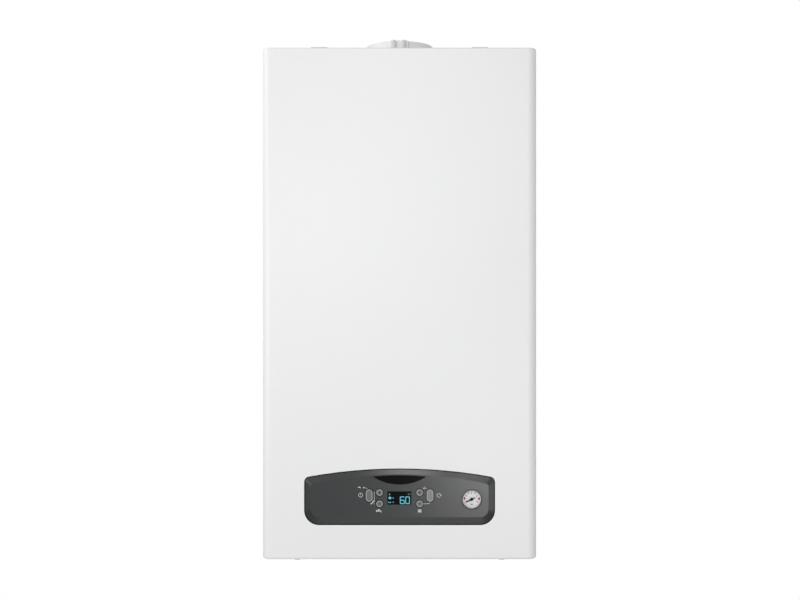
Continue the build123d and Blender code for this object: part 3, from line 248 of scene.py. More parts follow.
def set_gloss(net, shader, mask, low, high):
    """Roughness between two values, led by a mask."""
    gloss = net.nodes.new("ShaderNodeMapRange")
    preset(gloss, {"To Min": low, "To Max": high})
    net.links.new(mask, gloss.inputs["Value"])
    net.links.new(gloss.outputs["Result"], shader.inputs["Roughness"])


def finish(name, colour, second, rough, spread=0.04, metal=0.0, scale=12.0, share=0.35, fine=900.0,
           coarse=180.0, swell=0.5, bump=0.03, depth=0.0004, stretch=None, coat=0.0, specular=0.5):
    """Drifting tone, roughness that varies by the spread, and a skin or rolling marks as bump."""
    material, net, shader = new_material(name)
    preset(shader, {"Metallic": metal, "Coat Weight": coat, "Coat Roughness": 0.12,
                    "Specular IOR Level": specular})
    tone = use_group(net, TONE, {"Colour": (*colour, 1), "Second": (*second, 1), "Scale": scale,
                                 "Share": share})
    grain = use_group(net, GRAIN, {"Fine": fine, "Coarse": coarse, "Swell": swell})
    tint, height = tone.outputs["Colour"], grain.outputs["Height"]
    if stretch is not None:
        marks = use_group(net, MARKS, {"Stretch": stretch, "Second": (*second, 1)})
        net.links.new(tint, marks.inputs["Colour"])
        tint, height = marks.outputs["Colour"], marks.outputs["Height"]
    net.links.new(tint, shader.inputs["Base Color"])
    set_gloss(net, shader, grain.outputs["Mask"], max(rough - spread, 0.02), rough + spread)
    relief = net.nodes.new("ShaderNodeBump")
    preset(relief, {"Strength": bump, "Distance": depth})
    net.links.new(height, relief.inputs["Height"])
    net.links.new(relief.outputs["Normal"], shader.inputs["Normal"])
    return material


def print_finish(name, colour, second, rough=0.5, specular=0.5):
    """Printed ink: an even, thin film."""
    return finish(name, colour, second, rough, 0.03, scale=400.0, bump=0.02, specular=specular)


def clear_finish(name):
    """Thin clear moulding of the gauge: it lets the dial's light through and keeps a sheen."""
    material, net, shader = new_material(name)
    preset(shader, {"Base Color": (0.03, 0.03, 0.03, 1), "Alpha": 0.03})
    smudge = use_group(net, GRAIN, {"Coarse": 60.0})
    set_gloss(net, shader, smudge.outputs["Mask"], 0.05, 0.10)
    return material


def lit_finish(name, colour):
    """Lit marking of the display: a little unevenness in its glow."""
    material, net, shader = new_material(name)
    preset(shader, {"Base Color": (0.01, 0.01, 0.01, 1), "Roughness": 0.5, "Emission Strength": 1.0})
    dimmer = [0.8 * c for c in colour]
    tone = use_group(net, TONE, {"Colour": (*colour, 1), "Second": (*dimmer, 1), "Scale": 300.0})
    net.links.new(tone.outputs["Colour"], shader.inputs["Emission Color"])
    return material


FINISHES = {
    "white_coat": finish("White powder coat", (0.86, 0.865, 0.862), (0.84, 0.846, 0.845), 0.36, 0.03,
                         scale=3.0, fine=1500, coarse=420, swell=1.2, bump=0.05, depth=0.0002),
    "zinc_sheet": finish("Zinc sheet", (0.60, 0.62, 0.64), (0.48, 0.50, 0.52), 0.38, 0.08, metal=1.0,
                         scale=90.0, share=0.6, coarse=120.0, stretch=(300.0, 8.0, 8.0)),
    "plated_screws": finish("Plated screws", (0.66, 0.67, 0.68), (0.52, 0.53, 0.55), 0.28, 0.06,
                            metal=1.0, scale=300.0, coarse=900.0),
    "foam": finish("Sealing foam", (0.035, 0.035, 0.036), (0.055, 0.055, 0.056), 0.9, 0.05,
                   fine=2500, coarse=900.0, swell=1.0, bump=0.6, depth=0.0006),
    "white_plastic": finish("White moulding", (0.94, 0.94, 0.935), (0.92, 0.92, 0.912), 0.42, 0.05,
                            scale=14.0, fine=1400, bump=0.05, depth=0.0003),
    "grey_plastic": finish("Grey moulding", (0.74, 0.75, 0.755), (0.70, 0.71, 0.715), 0.45, 0.06,
                           fine=1600, bump=0.08, depth=0.0003),
    "grey_rubber": finish("Hose rubber", (0.23, 0.23, 0.235), (0.18, 0.18, 0.185), 0.62, 0.06,
                          fine=1200, bump=0.15),
    "cast_aluminium": finish("Cast aluminium", (0.56, 0.57, 0.575), (0.44, 0.45, 0.46), 0.48, 0.08,
                             metal=1.0, scale=60.0, share=0.6, coarse=300.0, swell=1.5, bump=0.25,
                             depth=0.0006),
    "stainless": finish("Drawn steel", (0.60, 0.60, 0.605), (0.50, 0.50, 0.505), 0.27, 0.06, metal=1.0,
                        scale=50.0, bump=0.012, stretch=(6.0, 6.0, 200.0)),
    "ceramic": finish("Glazed ceramic", (0.83, 0.82, 0.77), (0.78, 0.76, 0.70), 0.16, 0.03, scale=120.0,
                      coat=0.3),
    "black_plastic": finish("Black moulding", (0.022, 0.022, 0.024), (0.032, 0.032, 0.034), 0.46, 0.07,
                            fine=1800, coarse=500.0, bump=0.14, depth=0.0003),
    "dark_metal": finish("Black coated casting", (0.030, 0.030, 0.032), (0.045, 0.045, 0.048), 0.42,
                         0.08, scale=40.0, coarse=260.0, swell=1.5, bump=0.2, depth=0.0005),
    "red_coat": finish("Red vessel paint", (0.43, 0.022, 0.018), (0.36, 0.018, 0.015), 0.28, 0.05,
                       scale=9.0, fine=700, coarse=150.0, swell=1.2, bump=0.05, depth=0.0003, coat=0.2),
    "brass_casting": finish("Brass casting", (0.70, 0.50, 0.24), (0.52, 0.36, 0.17), 0.36, 0.09,
                            metal=1.0, scale=70.0, share=0.6, coarse=280.0, swell=1.5, bump=0.22,
                            depth=0.0005),
    "red_plastic": finish("Red knob moulding", (0.50, 0.025, 0.02), (0.42, 0.02, 0.016), 0.38, 0.05,
                          bump=0.08),
    "copper_pipe": finish("Drawn copper", (0.80, 0.40, 0.25), (0.60, 0.28, 0.17), 0.28, 0.08, metal=1.0,
                          scale=45.0, share=0.7, bump=0.012, stretch=(6.0, 6.0, 160.0)),
    "dark_plastic": finish("Control box moulding", (0.030, 0.031, 0.033), (0.040, 0.041, 0.044), 0.5,
                           0.06, fine=1500, coarse=400.0, bump=0.14, depth=0.0003),
    "panel_grey": finish("Panel moulding", (0.0275, 0.029, 0.0305), (0.031, 0.0325, 0.034), 0.20, 0.025,
                         scale=8.0, fine=2200, coarse=700.0, swell=0.8, depth=0.0002, specular=0.40),
    "badge_black": finish("Blank gloss badge", (0.0030, 0.0032, 0.0035), (0.0038, 0.0040, 0.0044), 0.14,
                          0.03, fine=600, bump=0.01, specular=0.06),
    "display_black": finish("Display window", (0.0026, 0.0033, 0.0046), (0.0034, 0.0042, 0.0056), 0.12,
                            0.03, fine=500, bump=0.008, specular=0.06),
    "board_green": finish("Circuit board", (0.012, 0.10, 0.045), (0.010, 0.13, 0.06), 0.35, 0.05,
                          scale=120.0, share=0.8, coarse=220.0, bump=0.12, depth=0.0003),
    "button_grey": finish("Button moulding", (0.128, 0.132, 0.134), (0.142, 0.146, 0.148), 0.34,
                          fine=2200, bump=0.05, depth=0.0002, specular=0.36),
    "dial_white": finish("Printed dial card", (0.92, 0.92, 0.925), (0.90, 0.90, 0.90), 0.55,
                         scale=200.0, share=0.5, bump=0.02),
    "needle_black": finish("Needle lacquer", (0.005, 0.005, 0.0055), (0.007, 0.007, 0.0075), 0.5,
                           bump=0.02, specular=0.12),
    "clear_lens": clear_finish("Clear lens"),
}
SLOT_OF = {part["node"]: part["material_slot"] for part in frame["record"]["subparts"]}
for node, thing in NODES.items():
    thing.data.materials.clear()
    thing.data.materials.append(FINISHES[SLOT_OF[node]])

# the right oblong button is moulded in a lighter grey than the other five
NODES["button_reset"].data.materials[0] = finish(
    "Lighter button moulding", (0.205, 0.210, 0.212), (0.220, 0.225, 0.227), 0.34,
    fine=2200, bump=0.05, depth=0.0002, specular=0.36)

PALE_PRINT = print_finish("Pale print", (0.80, 0.81, 0.815), (0.76, 0.77, 0.775))
DARK_PRINT = print_finish("Dark print", (0.03, 0.031, 0.033), (0.04, 0.041, 0.043))
# painted highlight: a lighter ring on each button's face that stands in for light caught by its rounded edge
RIM_HIGHLIGHT = print_finish("Painted rim highlight", (0.40, 0.408, 0.41), (0.36, 0.368, 0.37), rough=0.34)
# painted shadow: near-black ink that stands in for the shade in the button wells and in the gap round the
# panel opening
PAINTED_SHADE = print_finish("Well shadow", (0.004, 0.004, 0.0045), (0.006, 0.006, 0.0065), specular=0.06)
RED_PRINT = print_finish("Red print", (0.36, 0.012, 0.045), (0.33, 0.012, 0.045))
CYAN_GLOW = lit_finish("Cyan segments", (0.10, 0.50, 0.63))
GREEN_GLOW = lit_finish("Green signs", (0.06, 0.32, 0.20))


# ---------------------------------------------------------------- surfaces
def settle(name, mesh, body):
    """Put a finished mesh in the scene, riding a body."""
    piece = bpy.data.objects.new(name, mesh)
    bpy.context.scene.collection.objects.link(piece)
    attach(piece, body)


def build(name, points, faces, material, body, smooth=False):
    """Mesh piece from a point array and a list of faces."""
    mesh = bpy.data.meshes.new(name)
    mesh.from_pydata(np.asarray(points, float).tolist(), [], [list(map(int, f)) for f in faces])
    mesh.polygons.foreach_set("use_smooth", np.full(len(mesh.polygons), smooth))
    mesh.materials.append(material)
    mesh.update()
    settle(name, mesh, body)


def raised(outlines, back, thick):
    """Each closed outline, turned anticlockwise if it runs the other way, becomes a thin
    plate from depth back to back + thick: front cap, back cap and a wall between."""
    points, faces, start = [], [], 0
    for outline in outlines:
        flat = np.asarray(outline, float)
        turn = np.roll(flat, -1, axis=0)
        if np.sum(flat[:, 0] * turn[:, 1] - turn[:, 0] * flat[:, 1]) < 0:
            flat = flat[::-1]
        n = len(flat)
        x, z = flat[:, 0] * MM, BOTTOM + flat[:, 1] * MM
        face = np.stack([x, np.full(n, -(back + thick)), z], 1)
        rear = np.stack([x, np.full(n, -back), z], 1)
        i = np.arange(n)
        j = np.roll(i, -1)
        faces.append((start + i).tolist())
        faces.append((start + n + i[::-1]).tolist())
        faces.extend((start + np.stack([i, i + n, j + n, j], 1)).tolist())
        points.append(np.concatenate([face, rear]))
        start += 2 * n
    return np.concatenate(points), faces


def opening_outline(grow):
    """Outline of the panel grown by a gap: flat foot between two round corners, upright
    sides and one wide arc on top. A top corner's centre lies one corner radius inside
    both the side and the arc, so it touches each of them once."""
    half, low, peak, arc = PANEL_HALF + grow, PANEL_LOW - grow, PANEL_PEAK + grow, PANEL_ARC + grow
    top_round, low_round = TOP_ROUND + grow, LOW_ROUND + grow
    hub, across, foot = peak - arc, half - top_round, low + low_round
    level = hub + math.sqrt((arc - top_round) ** 2 - across ** 2)
    meet = math.degrees(math.atan2(level - hub, across))
    runs = (
        # centre x, centre h, radius, first and last angle, points
        (half - low_round, foot, low_round, -90, 0, 14),
        (across, level, top_round, 0, meet, 8),
        (0, hub, arc, meet, 180 - meet, 60),
        (-across, level, top_round, 180 - meet, 180, 8),
        (low_round - half, foot, low_round, 180, 270, 14),
    )
    path = []
    for cx, cy, r, start, end, count in runs:
        t = np.radians(np.linspace(start, end, count))
        path.append(np.stack([cx + r * np.cos(t), cy + r * np.sin(t)], 1))
    return np.concatenate(path)


def lining(inner, outer, back, thick):
    """Closed band between two outlines of equal count: outer wall, back, inner wall, front."""
    corners = ((outer, back + thick), (outer, back), (inner, back), (inner, back + thick))
    rings = [np.stack([o[:, 0] * MM, np.full(len(o), -depth), BOTTOM + o[:, 1] * MM], 1)
             for o, depth in corners]
    n = len(inner)
    i = np.arange(n)
    j = np.roll(i, -1)
    faces = []
    for k in range(4):
        here, there = k * n, (k + 1) % 4 * n
        faces.append(np.stack([here + i, there + i, there + j, here + j], 1))
    return np.concatenate(rings), np.concatenate(faces)


def disc(cx, cy, r, count):
    """Circle: centre + r (cos t, sin t)."""
    t = np.linspace(0, 2 * np.pi, count, endpoint=False)
    return np.stack([cx + r * np.cos(t), cy + r * np.sin(t)], 1)


def bow(cx, cy, r, width, start, end, count):
    """Arc of a band: out along radius r + width / 2, back along r - width / 2."""
    t = np.radians(np.linspace(start, end, count))
    edges = [np.stack([cx + reach * np.cos(t), cy + reach * np.sin(t)], 1)
             for reach in (r + width / 2, r - width / 2)]
    return np.concatenate([edges[0], edges[1][::-1]])


def ring_band(cx, cy, reach, inner, outer, count=24):
    """Band round a circle, or round a slot when reach is above nought, in two
    halves: each runs half a turn at the outer radius and back at the inner one,
    its upper quarter lifted by reach and its lower quarter lowered by it."""
    halves = []
    for start in (-90, 90):
        t = np.radians(np.linspace(start, start + 180, count))
        lift = reach * np.where(np.sin(t) > 0, 1.0, -1.0)
        path = [np.stack([cx + r * np.cos(t), cy + lift + r * np.sin(t)], 1) for r in (outer, inner)]
        halves.append(np.concatenate([path[0], path[1][::-1]]))
    return halves


def bar(x0, y0, x1, y1, width):
    """Straight stroke: a rectangle of the width about the line between two points."""
    a, b = np.array([x0, y0], float), np.array([x1, y1], float)
    along = (b - a) / np.linalg.norm(b - a)
    side = np.array([-along[1], along[0]]) * width / 2
    return np.array([a - side, b - side, b + side, a + side])


def strokes(rows, cx=0.0, cy=0.0, grow=1.0):
    """Straight strokes about a centre, one row each: start, end and width."""
    return [bar(*row) * grow + [cx, cy] for row in rows]


def segment(cx, cy, length, width, upright):
    """One display segment: a bar with pointed ends."""
    half, tip = length / 2, width / 2
    neck = half - tip
    shape = np.array([[-half, 0], [-neck, -tip], [neck, -tip], [half, 0], [neck, tip], [-neck, tip]])
    if upright:
        shape = np.stack([-shape[:, 1], shape[:, 0]], 1)
    return shape + [cx, cy]


LIT_SEGMENTS = {"6": "acdefg", "0": "abcdef"}


def digit(value, cx, cy, width, height, thick):
    """Seven-segment figure: the lit segments of the value."""
    w, h = width / 2 - thick / 2, height / 2 - thick / 2
    place = {"a": (0, h, 0), "g": (0, 0, 0), "d": (0, -h, 0), "f": (-w, h / 2, 1), "e": (-w, -h / 2, 1),
             "b": (w, h / 2, 1), "c": (w, -h / 2, 1)}
    lit = []
    for key in LIT_SEGMENTS[value]:
        dx, dy, upright = place[key]
        length = h if upright else 2 * w
        lit.append(segment(cx + dx, cy + dy, length + 0.5 * thick, thick, upright))
    return lit


def print_on(name, outlines, face, material, body, thick=INK_THICK):
    """Ink on a face: the outlines as thin plates that start just inside it."""
    points, faces = raised(outlines, face - INK_SUNK, thick)
    build(name, points, faces, material, body)


def lettering(name, words, cx, cy, size, face, material, body, slot):
    """Plain figures set flat on a face, turned upright before they are placed."""
    curve = bpy.data.curves.new(name, "FONT")
    curve.body = words
    curve.size = size * MM
    curve.offset = LETTER_BOLD * size * MM
    curve.align_x = "CENTER"
    curve.align_y = "CENTER"
    curve.extrude = LETTER_HALF
    temporary = bpy.data.objects.new(name, curve)
    bpy.context.scene.collection.objects.link(temporary)
    bpy.context.view_layer.update()
    mesh = bpy.data.meshes.new_from_object(temporary.evaluated_get(bpy.context.evaluated_depsgraph_get()))
    bpy.data.objects.remove(temporary)
    flat = np.empty(len(mesh.vertices) * 3)
    mesh.vertices.foreach_get("co", flat)
    x, y, z = flat.reshape(-1, 3).T
    placed = np.stack([x + cx * MM, -(face + LETTER_LIFT) - z, y + BOTTOM + cy * MM], 1)
    mesh.vertices.foreach_set("co", placed.ravel())
    mesh.materials.clear()
    mesh.materials.append(material)
    mesh.update()
    settle(name, mesh, body)


# ------------------------------------------------- printing on the panel
def power_sign(cx, cy, r):
    """Ring in two halves with a short upright stroke inside it."""
    return [bow(cx, cy, r, 0.5, 0, 180, 30), bow(cx, cy, r, 0.5, 180, 360, 30),
            *strokes([(0, 0.1, 0, 1.7, 0.6)], cx, cy)]


def turn_sign(cx, cy, r):
    """Open ring that ends in an arrow head."""
    head = np.array([[r - 1.2, 0.9], [r + 1.3, 0.9], [r + 0.1, -1.1]]) + [cx, cy]
    return [bow(cx, cy, r, 0.55, 25, 320, 40), head]


def tap_sign(cx, cy, grow):
    """Tap in outline: body, spout, stem, handle and wall flange."""
    return strokes([(-2.8, 0.4, 2.2, 0.4, 1.1), (2.0, 0.8, 2.6, -1.3, 0.9), (-0.4, 0.4, -0.4, 2.0, 0.7),
                    (-1.6, 2.1, 0.9, 2.1, 0.6), (-3.0, -0.6, -3.0, 1.4, 0.7)], cx, cy, grow)


def radiator_sign(cx, cy):
    """Radiator in outline: five columns and two cross bars."""
    columns = [(dx, -2.1, dx, 2.1, 0.75) for dx in (-2.1, -1.05, 0, 1.05, 2.1)]
    crossbars = [(-2.6, dy, 2.6, dy, 0.5) for dy in (1.35, -1.35)]
    return strokes(columns + crossbars, cx, cy)


def spanner_sign(cx, cy):
    """Spanner: open jaw, shank and the rounded end of the grip, with a dot beside it."""
    return [bow(cx + 1.4, cy + 1.3, 1.1, 0.95, -10, 260, 24),
            *strokes([(-2.1, -1.7, 0.7, 0.6, 1.15)], cx, cy),
            disc(cx - 2.1, cy - 1.8, 0.85, 16), disc(cx + 2.4, cy - 1.8, 0.5, 16)]


def key_sign(cx, cy):
    """Open ring between a slanted and a level stroke."""
    return [bow(cx, cy, 1.1, 0.4, 20, 320, 20),
            *strokes([(-2.2, -1.8, -1.0, -0.8, 0.4), (1.6, -0.9, 3.2, -0.9, 0.4)], cx, cy)]


def rib_sign(cx, cy):
    """Three short ribs and a slanted stroke beside them."""
    ribs = [(0.9 * i, 0, 0.9 * i, 1.9, 0.5) for i in range(3)]
    return strokes(ribs + [(3.2, 0.6, 5.4, -0.9, 0.4)], cx, cy)


# bracket beside the left oblong button, and elbow from the right round button to the oblong one
BRACKET = [(-36.9, 98.4, -36.9, 84.9, FINE_LINE), (-36.9, 98.2, -35.6, 98.2, FINE_LINE),
           (-36.9, 85.1, -35.8, 85.1, FINE_LINE)]
ELBOW = [(34.6, 81.8, 43.0, 81.8, FINE_LINE), (43.0, 81.6, 43.0, 83.2, FINE_LINE)]

signs = [*power_sign(-56.6, 94.4, 2.9), *turn_sign(57.0, 94.0, 2.6), *tap_sign(-30.0, 70.9, 1.2),
         *radiator_sign(29.2, 71.4), *spanner_sign(-39.2, 83.6), *strokes(BRACKET + ELBOW),
         *tap_sign(-58.2, 105.2, 0.62), *rib_sign(-52.6, 104.3), *key_sign(36.4, 104.8)]
print_on("panel_signs", signs, PLATEAU, PALE_PRINT, "control_box")

SIGN_WIDTH = 1.1
PLUS_REACH = 1.9
MINUS_REACH = 2.2
for label in ("hot_water", "heating"):
    plus, minus = "button_" + label + "_plus", "button_" + label + "_minus"
    level, upright = (-PLUS_REACH, 0, PLUS_REACH, 0, SIGN_WIDTH), (0, -PLUS_REACH, 0, PLUS_REACH, SIGN_WIDTH)
    print_on(label + "_plus_sign", strokes([level, upright], *middle(plus)), BUTTON_FACE, DARK_PRINT,
             plus)
    single = (-MINUS_REACH, 0, MINUS_REACH, 0, SIGN_WIDTH)
    print_on(label + "_minus_sign", strokes([single], *middle(minus)), BUTTON_FACE, DARK_PRINT,
             minus)

# painted shade of the well round each button, laid on the panel, and a painted highlight along the rim of its
# face
BUTTON_EDGE = 1.3
WELL_GAP, WELL_REACH = 0.32, 1.15
RIM_INNER, RIM_OUTER = 1.1, 0.1
for label in ("button_hot_water_plus", "button_hot_water_minus", "button_heating_plus",
              "button_heating_minus", "button_mode", "button_reset"):
    half, straight = button_size(label)
    cap = half - BUTTON_EDGE
    well_shadow = ring_band(*middle(label), straight, cap + WELL_GAP, cap + WELL_REACH)
    print_on(label + "_well_shadow", well_shadow, PLATEAU, PAINTED_SHADE, "control_box")
    rim_highlight = ring_band(*middle(label), straight, cap - RIM_INNER, cap - RIM_OUTER)
    print_on(label + "_rim_highlight", rim_highlight, BUTTON_FACE, RIM_HIGHLIGHT, label)

# painted shadow: a near-black band in the gap round the panel opening, standing in for the shade there
gap_shadow, gap_shadow_faces = lining(opening_outline(GAP_SHADOW_INNER), opening_outline(GAP_SHADOW_OUTER), GAP_SHADOW_BACK,
                              GAP_SHADOW_THICK)
build("opening_gap_shadow", gap_shadow, gap_shadow_faces, PAINTED_SHADE, "front_cover")


# --------------------------------------------------------- lit display
FIGURE_H, FIGURE_HEIGHT, FIGURE_THICK = 86.85, 10.9, 1.25

# dark strips along the left and top edge of the display's opening
surround = strokes([(-17.3, 80.9, -17.3, 99.7, 1.0), (-16.8, 99.2, 16.9, 99.2, 1.0)])
print_on("display_surround", surround, PLATEAU, FINISHES["display_black"], "control_box")

figures = [*digit("6", 3.9, FIGURE_H, 7.0, FIGURE_HEIGHT, FIGURE_THICK),
           *digit("0", 11.6, FIGURE_H, 6.7, FIGURE_HEIGHT, FIGURE_THICK)]
print_on("display_figures", figures, DISPLAY_FACE, CYAN_GLOW, "control_box")

house = np.array([[-15.9, 88.6], [-12.1, 88.6], [-12.1, 91.2], [-14.0, 92.2], [-15.9, 91.2]])
house_cross = [(-9.6, 89.2, -9.6, 91.0, 0.7), (-10.2, 90.1, -8.4, 90.1, 0.6)]
small_tap = [(-16.0, 83.4, -12.6, 83.4, 0.8), (-13.0, 83.4, -13.0, 85.0, 0.8),
             (-16.0, 83.4, -16.6, 84.8, 0.8)]
tap_cross = [(-10.2, 84.0, -8.4, 84.0, 0.6), (-9.3, 83.2, -9.3, 84.9, 0.6)]
print_on("display_signs", [house, *strokes(house_cross + small_tap + tap_cross)], DISPLAY_FACE, CYAN_GLOW,
         "control_box")

flame = np.array([[-15.6, 94.2], [-13.6, 94.2], [-14.2, 96.8], [-15.0, 96.8]])
unit_lines = strokes([(14.6, 94.6, 15.8, 94.6, 0.5), (14.6, 96.2, 15.8, 96.2, 0.5)])
print_on("display_marks", [flame, bow(13.2, 95.4, 0.9, 0.5, 0, 300, 18), *unit_lines], DISPLAY_FACE,
         GREEN_GLOW, "control_box")


# ------------------------------------------------------- gauge printing
ZERO_ANGLE = 205.8
ANGLE_PER_BAR = 57.9
TOP_PRESSURE = 4
TICK_OUTER = 11.7
WHOLE_TICK = (10.7, 0.45)
HALF_TICK = (8.6, 0.8)
LIMITS = (0.55, 3.5)
LIMIT_RADIUS, LIMIT_WIDTH, LIMIT_SWEEP = 10.7, 2.4, 9
FIGURE_RADIUS, FIGURE_SIZE = 8.6, 3.4
UNIT_DROP, UNIT_SIZE = 7.4, 2.9


def dial_angle(bars):
    """Direction of a pressure on the dial, in degrees anticlockwise from the right."""
    return ZERO_ANGLE - ANGLE_PER_BAR * bars


def dial_place(bars, radius):
    """Point of the dial at a pressure and a radius."""
    a = math.radians(dial_angle(bars))
    return GAUGE[0] + radius * math.cos(a), GAUGE[1] + radius * math.sin(a)


ticks = []
for step in range(2 * TOP_PRESSURE + 1):
    inner, width = HALF_TICK if step % 2 else WHOLE_TICK
    ticks.append(bar(*dial_place(step / 2, inner), *dial_place(step / 2, TICK_OUTER), width))
print_on("dial_ticks", ticks, DIAL_FACE, DARK_PRINT, "control_box")

limits = [bow(*GAUGE, LIMIT_RADIUS, LIMIT_WIDTH, dial_angle(b) - LIMIT_SWEEP, dial_angle(b) + LIMIT_SWEEP, 12)
          for b in LIMITS]
print_on("dial_limits", limits, DIAL_FACE, RED_PRINT, "control_box", INK_DOUBLE)

for bars in range(TOP_PRESSURE + 1):
    lettering("dial_figure_%d" % bars, str(bars), *dial_place(bars, FIGURE_RADIUS), FIGURE_SIZE, DIAL_FACE,
              DARK_PRINT, "control_box", "dial_white")
lettering("dial_unit", "bar", GAUGE[0], GAUGE[1] - UNIT_DROP, UNIT_SIZE, DIAL_FACE, DARK_PRINT,
          "control_box", "dial_white")

# black blade over the needle: distance from the hub and half width, from the tip to the tail
BLADE = np.array([[9.4, 0.55], [0.0, 1.05], [-4.6, 0.45]])
HUB_RADIUS = 2.1
BLADE_THICK = 0.6 * MM
lean = math.radians(dial_angle(0))
along, aside = np.array([math.cos(lean), math.sin(lean)]), np.array([-math.sin(lean), math.cos(lean)])
left_edge = GAUGE + BLADE[:, :1] * along + BLADE[:, 1:] * aside
right_edge = GAUGE + BLADE[:, :1] * along - BLADE[:, 1:] * aside
blade, blade_faces = raised([np.concatenate([left_edge, right_edge[::-1]]), disc(*GAUGE, HUB_RADIUS, 32)],
                            NEEDLE_FACE, BLADE_THICK)
build("needle_blade", blade, blade_faces, FINISHES["needle_black"], "needle")


# ------------------------------------------------- threads underneath
THREAD_ROWS, THREAD_SPOKES = 180, 48
THREAD_ROOT = 0.0001
THREAD_RIDGE = 0.0009
THREAD_FADE = 14
SLEEVE_SUNK = 0.0004


def threaded_sleeve(name, x, radius, slot):
    """Screw thread on a stub: r = R + d |saw(z / pitch - angle / turn)|, a
    triangle wave that climbs one pitch a turn and fades at both ends."""
    rows, spokes = THREAD_ROWS, THREAD_SPOKES
    share = np.linspace(0, 1, rows)
    a = np.linspace(0, 2 * np.pi, spokes, endpoint=False)
    run, angle = np.meshgrid(share, a, indexing="ij")
    z = THREAD_LOW + (THREAD_HIGH - THREAD_LOW) * run
    phase = z / THREAD_PITCH - angle / (2 * np.pi)
    wave = 2 * np.abs(phase - np.floor(phase + 0.5))
    fade = np.clip(np.minimum(run, 1 - run) * THREAD_FADE, 0, 1)
    r = radius + THREAD_ROOT + THREAD_RIDGE * wave * fade
    skin = np.stack([x + r * np.cos(angle), -PORT_DEPTH + r * np.sin(angle), BOTTOM + z], 2).reshape(-1, 3)
    inner = radius - SLEEVE_SUNK
    bore = np.stack([np.tile(x + inner * np.cos(a), 2), np.tile(-PORT_DEPTH + inner * np.sin(a), 2),
                     BOTTOM + np.repeat([THREAD_LOW, THREAD_HIGH], spokes)], 1)
    n = np.arange(spokes)
    m = (n + 1) % spokes
    low, high = np.arange(rows - 1)[:, None] * spokes, np.arange(1, rows)[:, None] * spokes
    skin_faces = np.stack([low + n, low + m, high + m, high + n], 2).reshape(-1, 4)
    last, base = (rows - 1) * spokes, rows * spokes
    top = base + spokes
    foot_faces = np.stack([n, base + n, base + m, m], 1)
    head_faces = np.stack([last + n, last + m, top + m, top + n], 1)
    bore_faces = np.stack([base + n, top + n, top + m, base + m], 1)
    faces = np.concatenate([skin_faces, foot_faces, head_faces, bore_faces])
    build(name, np.concatenate([skin, bore]), faces, FINISHES[slot], "chassis", smooth=True)


# each stub's place counts pitches from the middle one
STUBS = (
    ("thread_heating_flow", -2, BIG_STUB, "brass_casting"),
    ("thread_hot_water", -1, SMALL_STUB, "brass_casting"),
    ("thread_gas", 0, BIG_STUB, "stainless"),
    ("thread_cold_water", 1, SMALL_STUB, "brass_casting"),
    ("thread_heating_return", 2, BIG_STUB, "brass_casting"),
)
for label, place, radius, slot in STUBS:
    threaded_sleeve(label, place * PORT_PITCH, radius, slot)


# ------------------------------------------------- light, floor, camera
LAMPS = (
    # name, place, target, width, height, power in watts
    ("Left_grazing_softbox", (-2.6, -0.95, 0.9), (-0.2, -0.15, 0.0), 0.8, 1.2, 14.1),
    ("Near_left_softbox", (-0.86, -1.15, -0.30), (-0.05, -0.3, -0.16), 0.4, 0.5, 2.75),
    ("Front_softbox", (-0.16, -2.6, -0.02), (-0.05, -0.3, -0.2), 0.7, 0.4, 6.1),
    ("Top_strip", (0.06, -1.6, 0.40), (0.0, -0.3, -0.55), 0.3, 0.24, 1.65),
    ("Top_right_card", (0.36, -1.6, 0.10), (0.1, -0.3, -0.55), 0.36, 0.22, 0.72),
    ("Right_edge_card", (1.21, -1.47, -0.89), (0.1, -0.3, -0.6), 0.3, 0.35, 0.5),
    ("Low_right_softbox", (0.50, -3.0, -1.00), (0.1, -0.3, -0.6), 0.7, 0.6, 4.1),
    ("Low_right_spot", (0.42, -3.0, -0.80), (0.1, -0.3, -0.6), 0.35, 0.4, 3.85),
    ("Foot_strip", (0.10, -1.9, -1.75), (0.0, -0.3, -0.5), 0.8, 0.3, 1.8),
    ("Collar_card", (-0.55, -0.37, 0.33), (0.0, -0.15, 0.06), 0.16, 0.16, 0.36),
    ("Rear_softbox", (0.0, 2.4, 0.8), (0, 0, -0.3), 1.8, 1.2, 22),
)
ROOM_STRENGTH = 0.36
BACKDROP_STRENGTH = 1.0
FLOOR_LEVEL = -1.9
FLOOR_REACH = 5
FLOOR_BACK = 3
CAMERA_PLACE = (0.0006, -1.932, -0.3223)
CAMERA_LENS = 50
CAMERA_SENSOR = 36


def area_light(name, place, target, width, height, power):
    """Rectangular lamp that faces its target."""
    light = bpy.data.lights.new(name, "AREA")
    light.shape = "RECTANGLE"
    light.size, light.size_y = width, height
    light.energy = power
    lamp = bpy.data.objects.new(name, light)
    lamp.location = place
    aim = Vector(target) - Vector(place)
    lamp.rotation_euler = aim.to_track_quat("-Z", "Y").to_euler()
    bpy.context.scene.collection.objects.link(lamp)


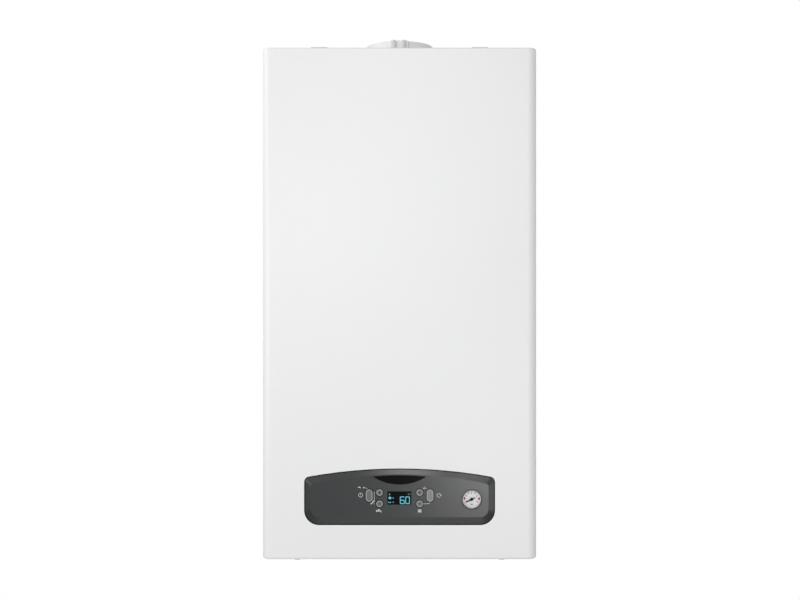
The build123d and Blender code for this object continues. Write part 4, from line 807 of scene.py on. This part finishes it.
def white_room():
    """White all round: at full strength where it is seen, mirrored or looked through,
    and dimmer where it lights the object."""
    world = bpy.data.worlds.new("Studio")
    bpy.context.scene.world = world
    world.use_nodes = True
    net = world.node_tree
    backdrop, room = net.nodes["Background"], net.nodes.new("ShaderNodeBackground")
    preset(backdrop, {"Color": (1, 1, 1, 1), "Strength": BACKDROP_STRENGTH})
    preset(room, {"Color": (1, 1, 1, 1), "Strength": ROOM_STRENGTH})
    ray = net.nodes.new("ShaderNodeLightPath").outputs
    seen = combine(net, "MAXIMUM", ray["Is Camera Ray"], ray["Is Glossy Ray"])
    shown = combine(net, "MAXIMUM", seen, ray["Is Transmission Ray"])
    pick = net.nodes.new("ShaderNodeMixShader")
    net.links.new(shown, pick.inputs["Fac"])
    net.links.new(room.outputs[0], pick.inputs[1])
    net.links.new(backdrop.outputs[0], pick.inputs[2])
    net.links.new(pick.outputs[0], net.nodes["World Output"].inputs["Surface"])


for lamp in LAMPS:
    area_light(*lamp)
white_room()

floor_mesh = bpy.data.meshes.new("Floor")
floor_corners = [(-FLOOR_REACH, -FLOOR_REACH, FLOOR_LEVEL), (FLOOR_REACH, -FLOOR_REACH, FLOOR_LEVEL),
                 (FLOOR_REACH, FLOOR_BACK, FLOOR_LEVEL), (-FLOOR_REACH, FLOOR_BACK, FLOOR_LEVEL)]
floor_mesh.from_pydata(floor_corners, [], [(0, 1, 2, 3)])
floor_mesh.materials.append(finish("Pale floor", (0.86, 0.86, 0.86), (0.84, 0.84, 0.84), 0.7, scale=1.0,
                                   bump=0.01))
floor = bpy.data.objects.new("Floor", floor_mesh)
bpy.context.scene.collection.objects.link(floor)

camera_data = bpy.data.cameras.new("Camera")
camera_data.sensor_width = CAMERA_SENSOR
camera_data.lens = CAMERA_LENS
camera = bpy.data.objects.new("Camera", camera_data)
camera.location = CAMERA_PLACE
camera.rotation_euler = (math.radians(90), 0, 0)
bpy.context.scene.collection.objects.link(camera)
bpy.context.scene.camera = camera
bpy.context.scene.view_settings.view_transform = "Standard"
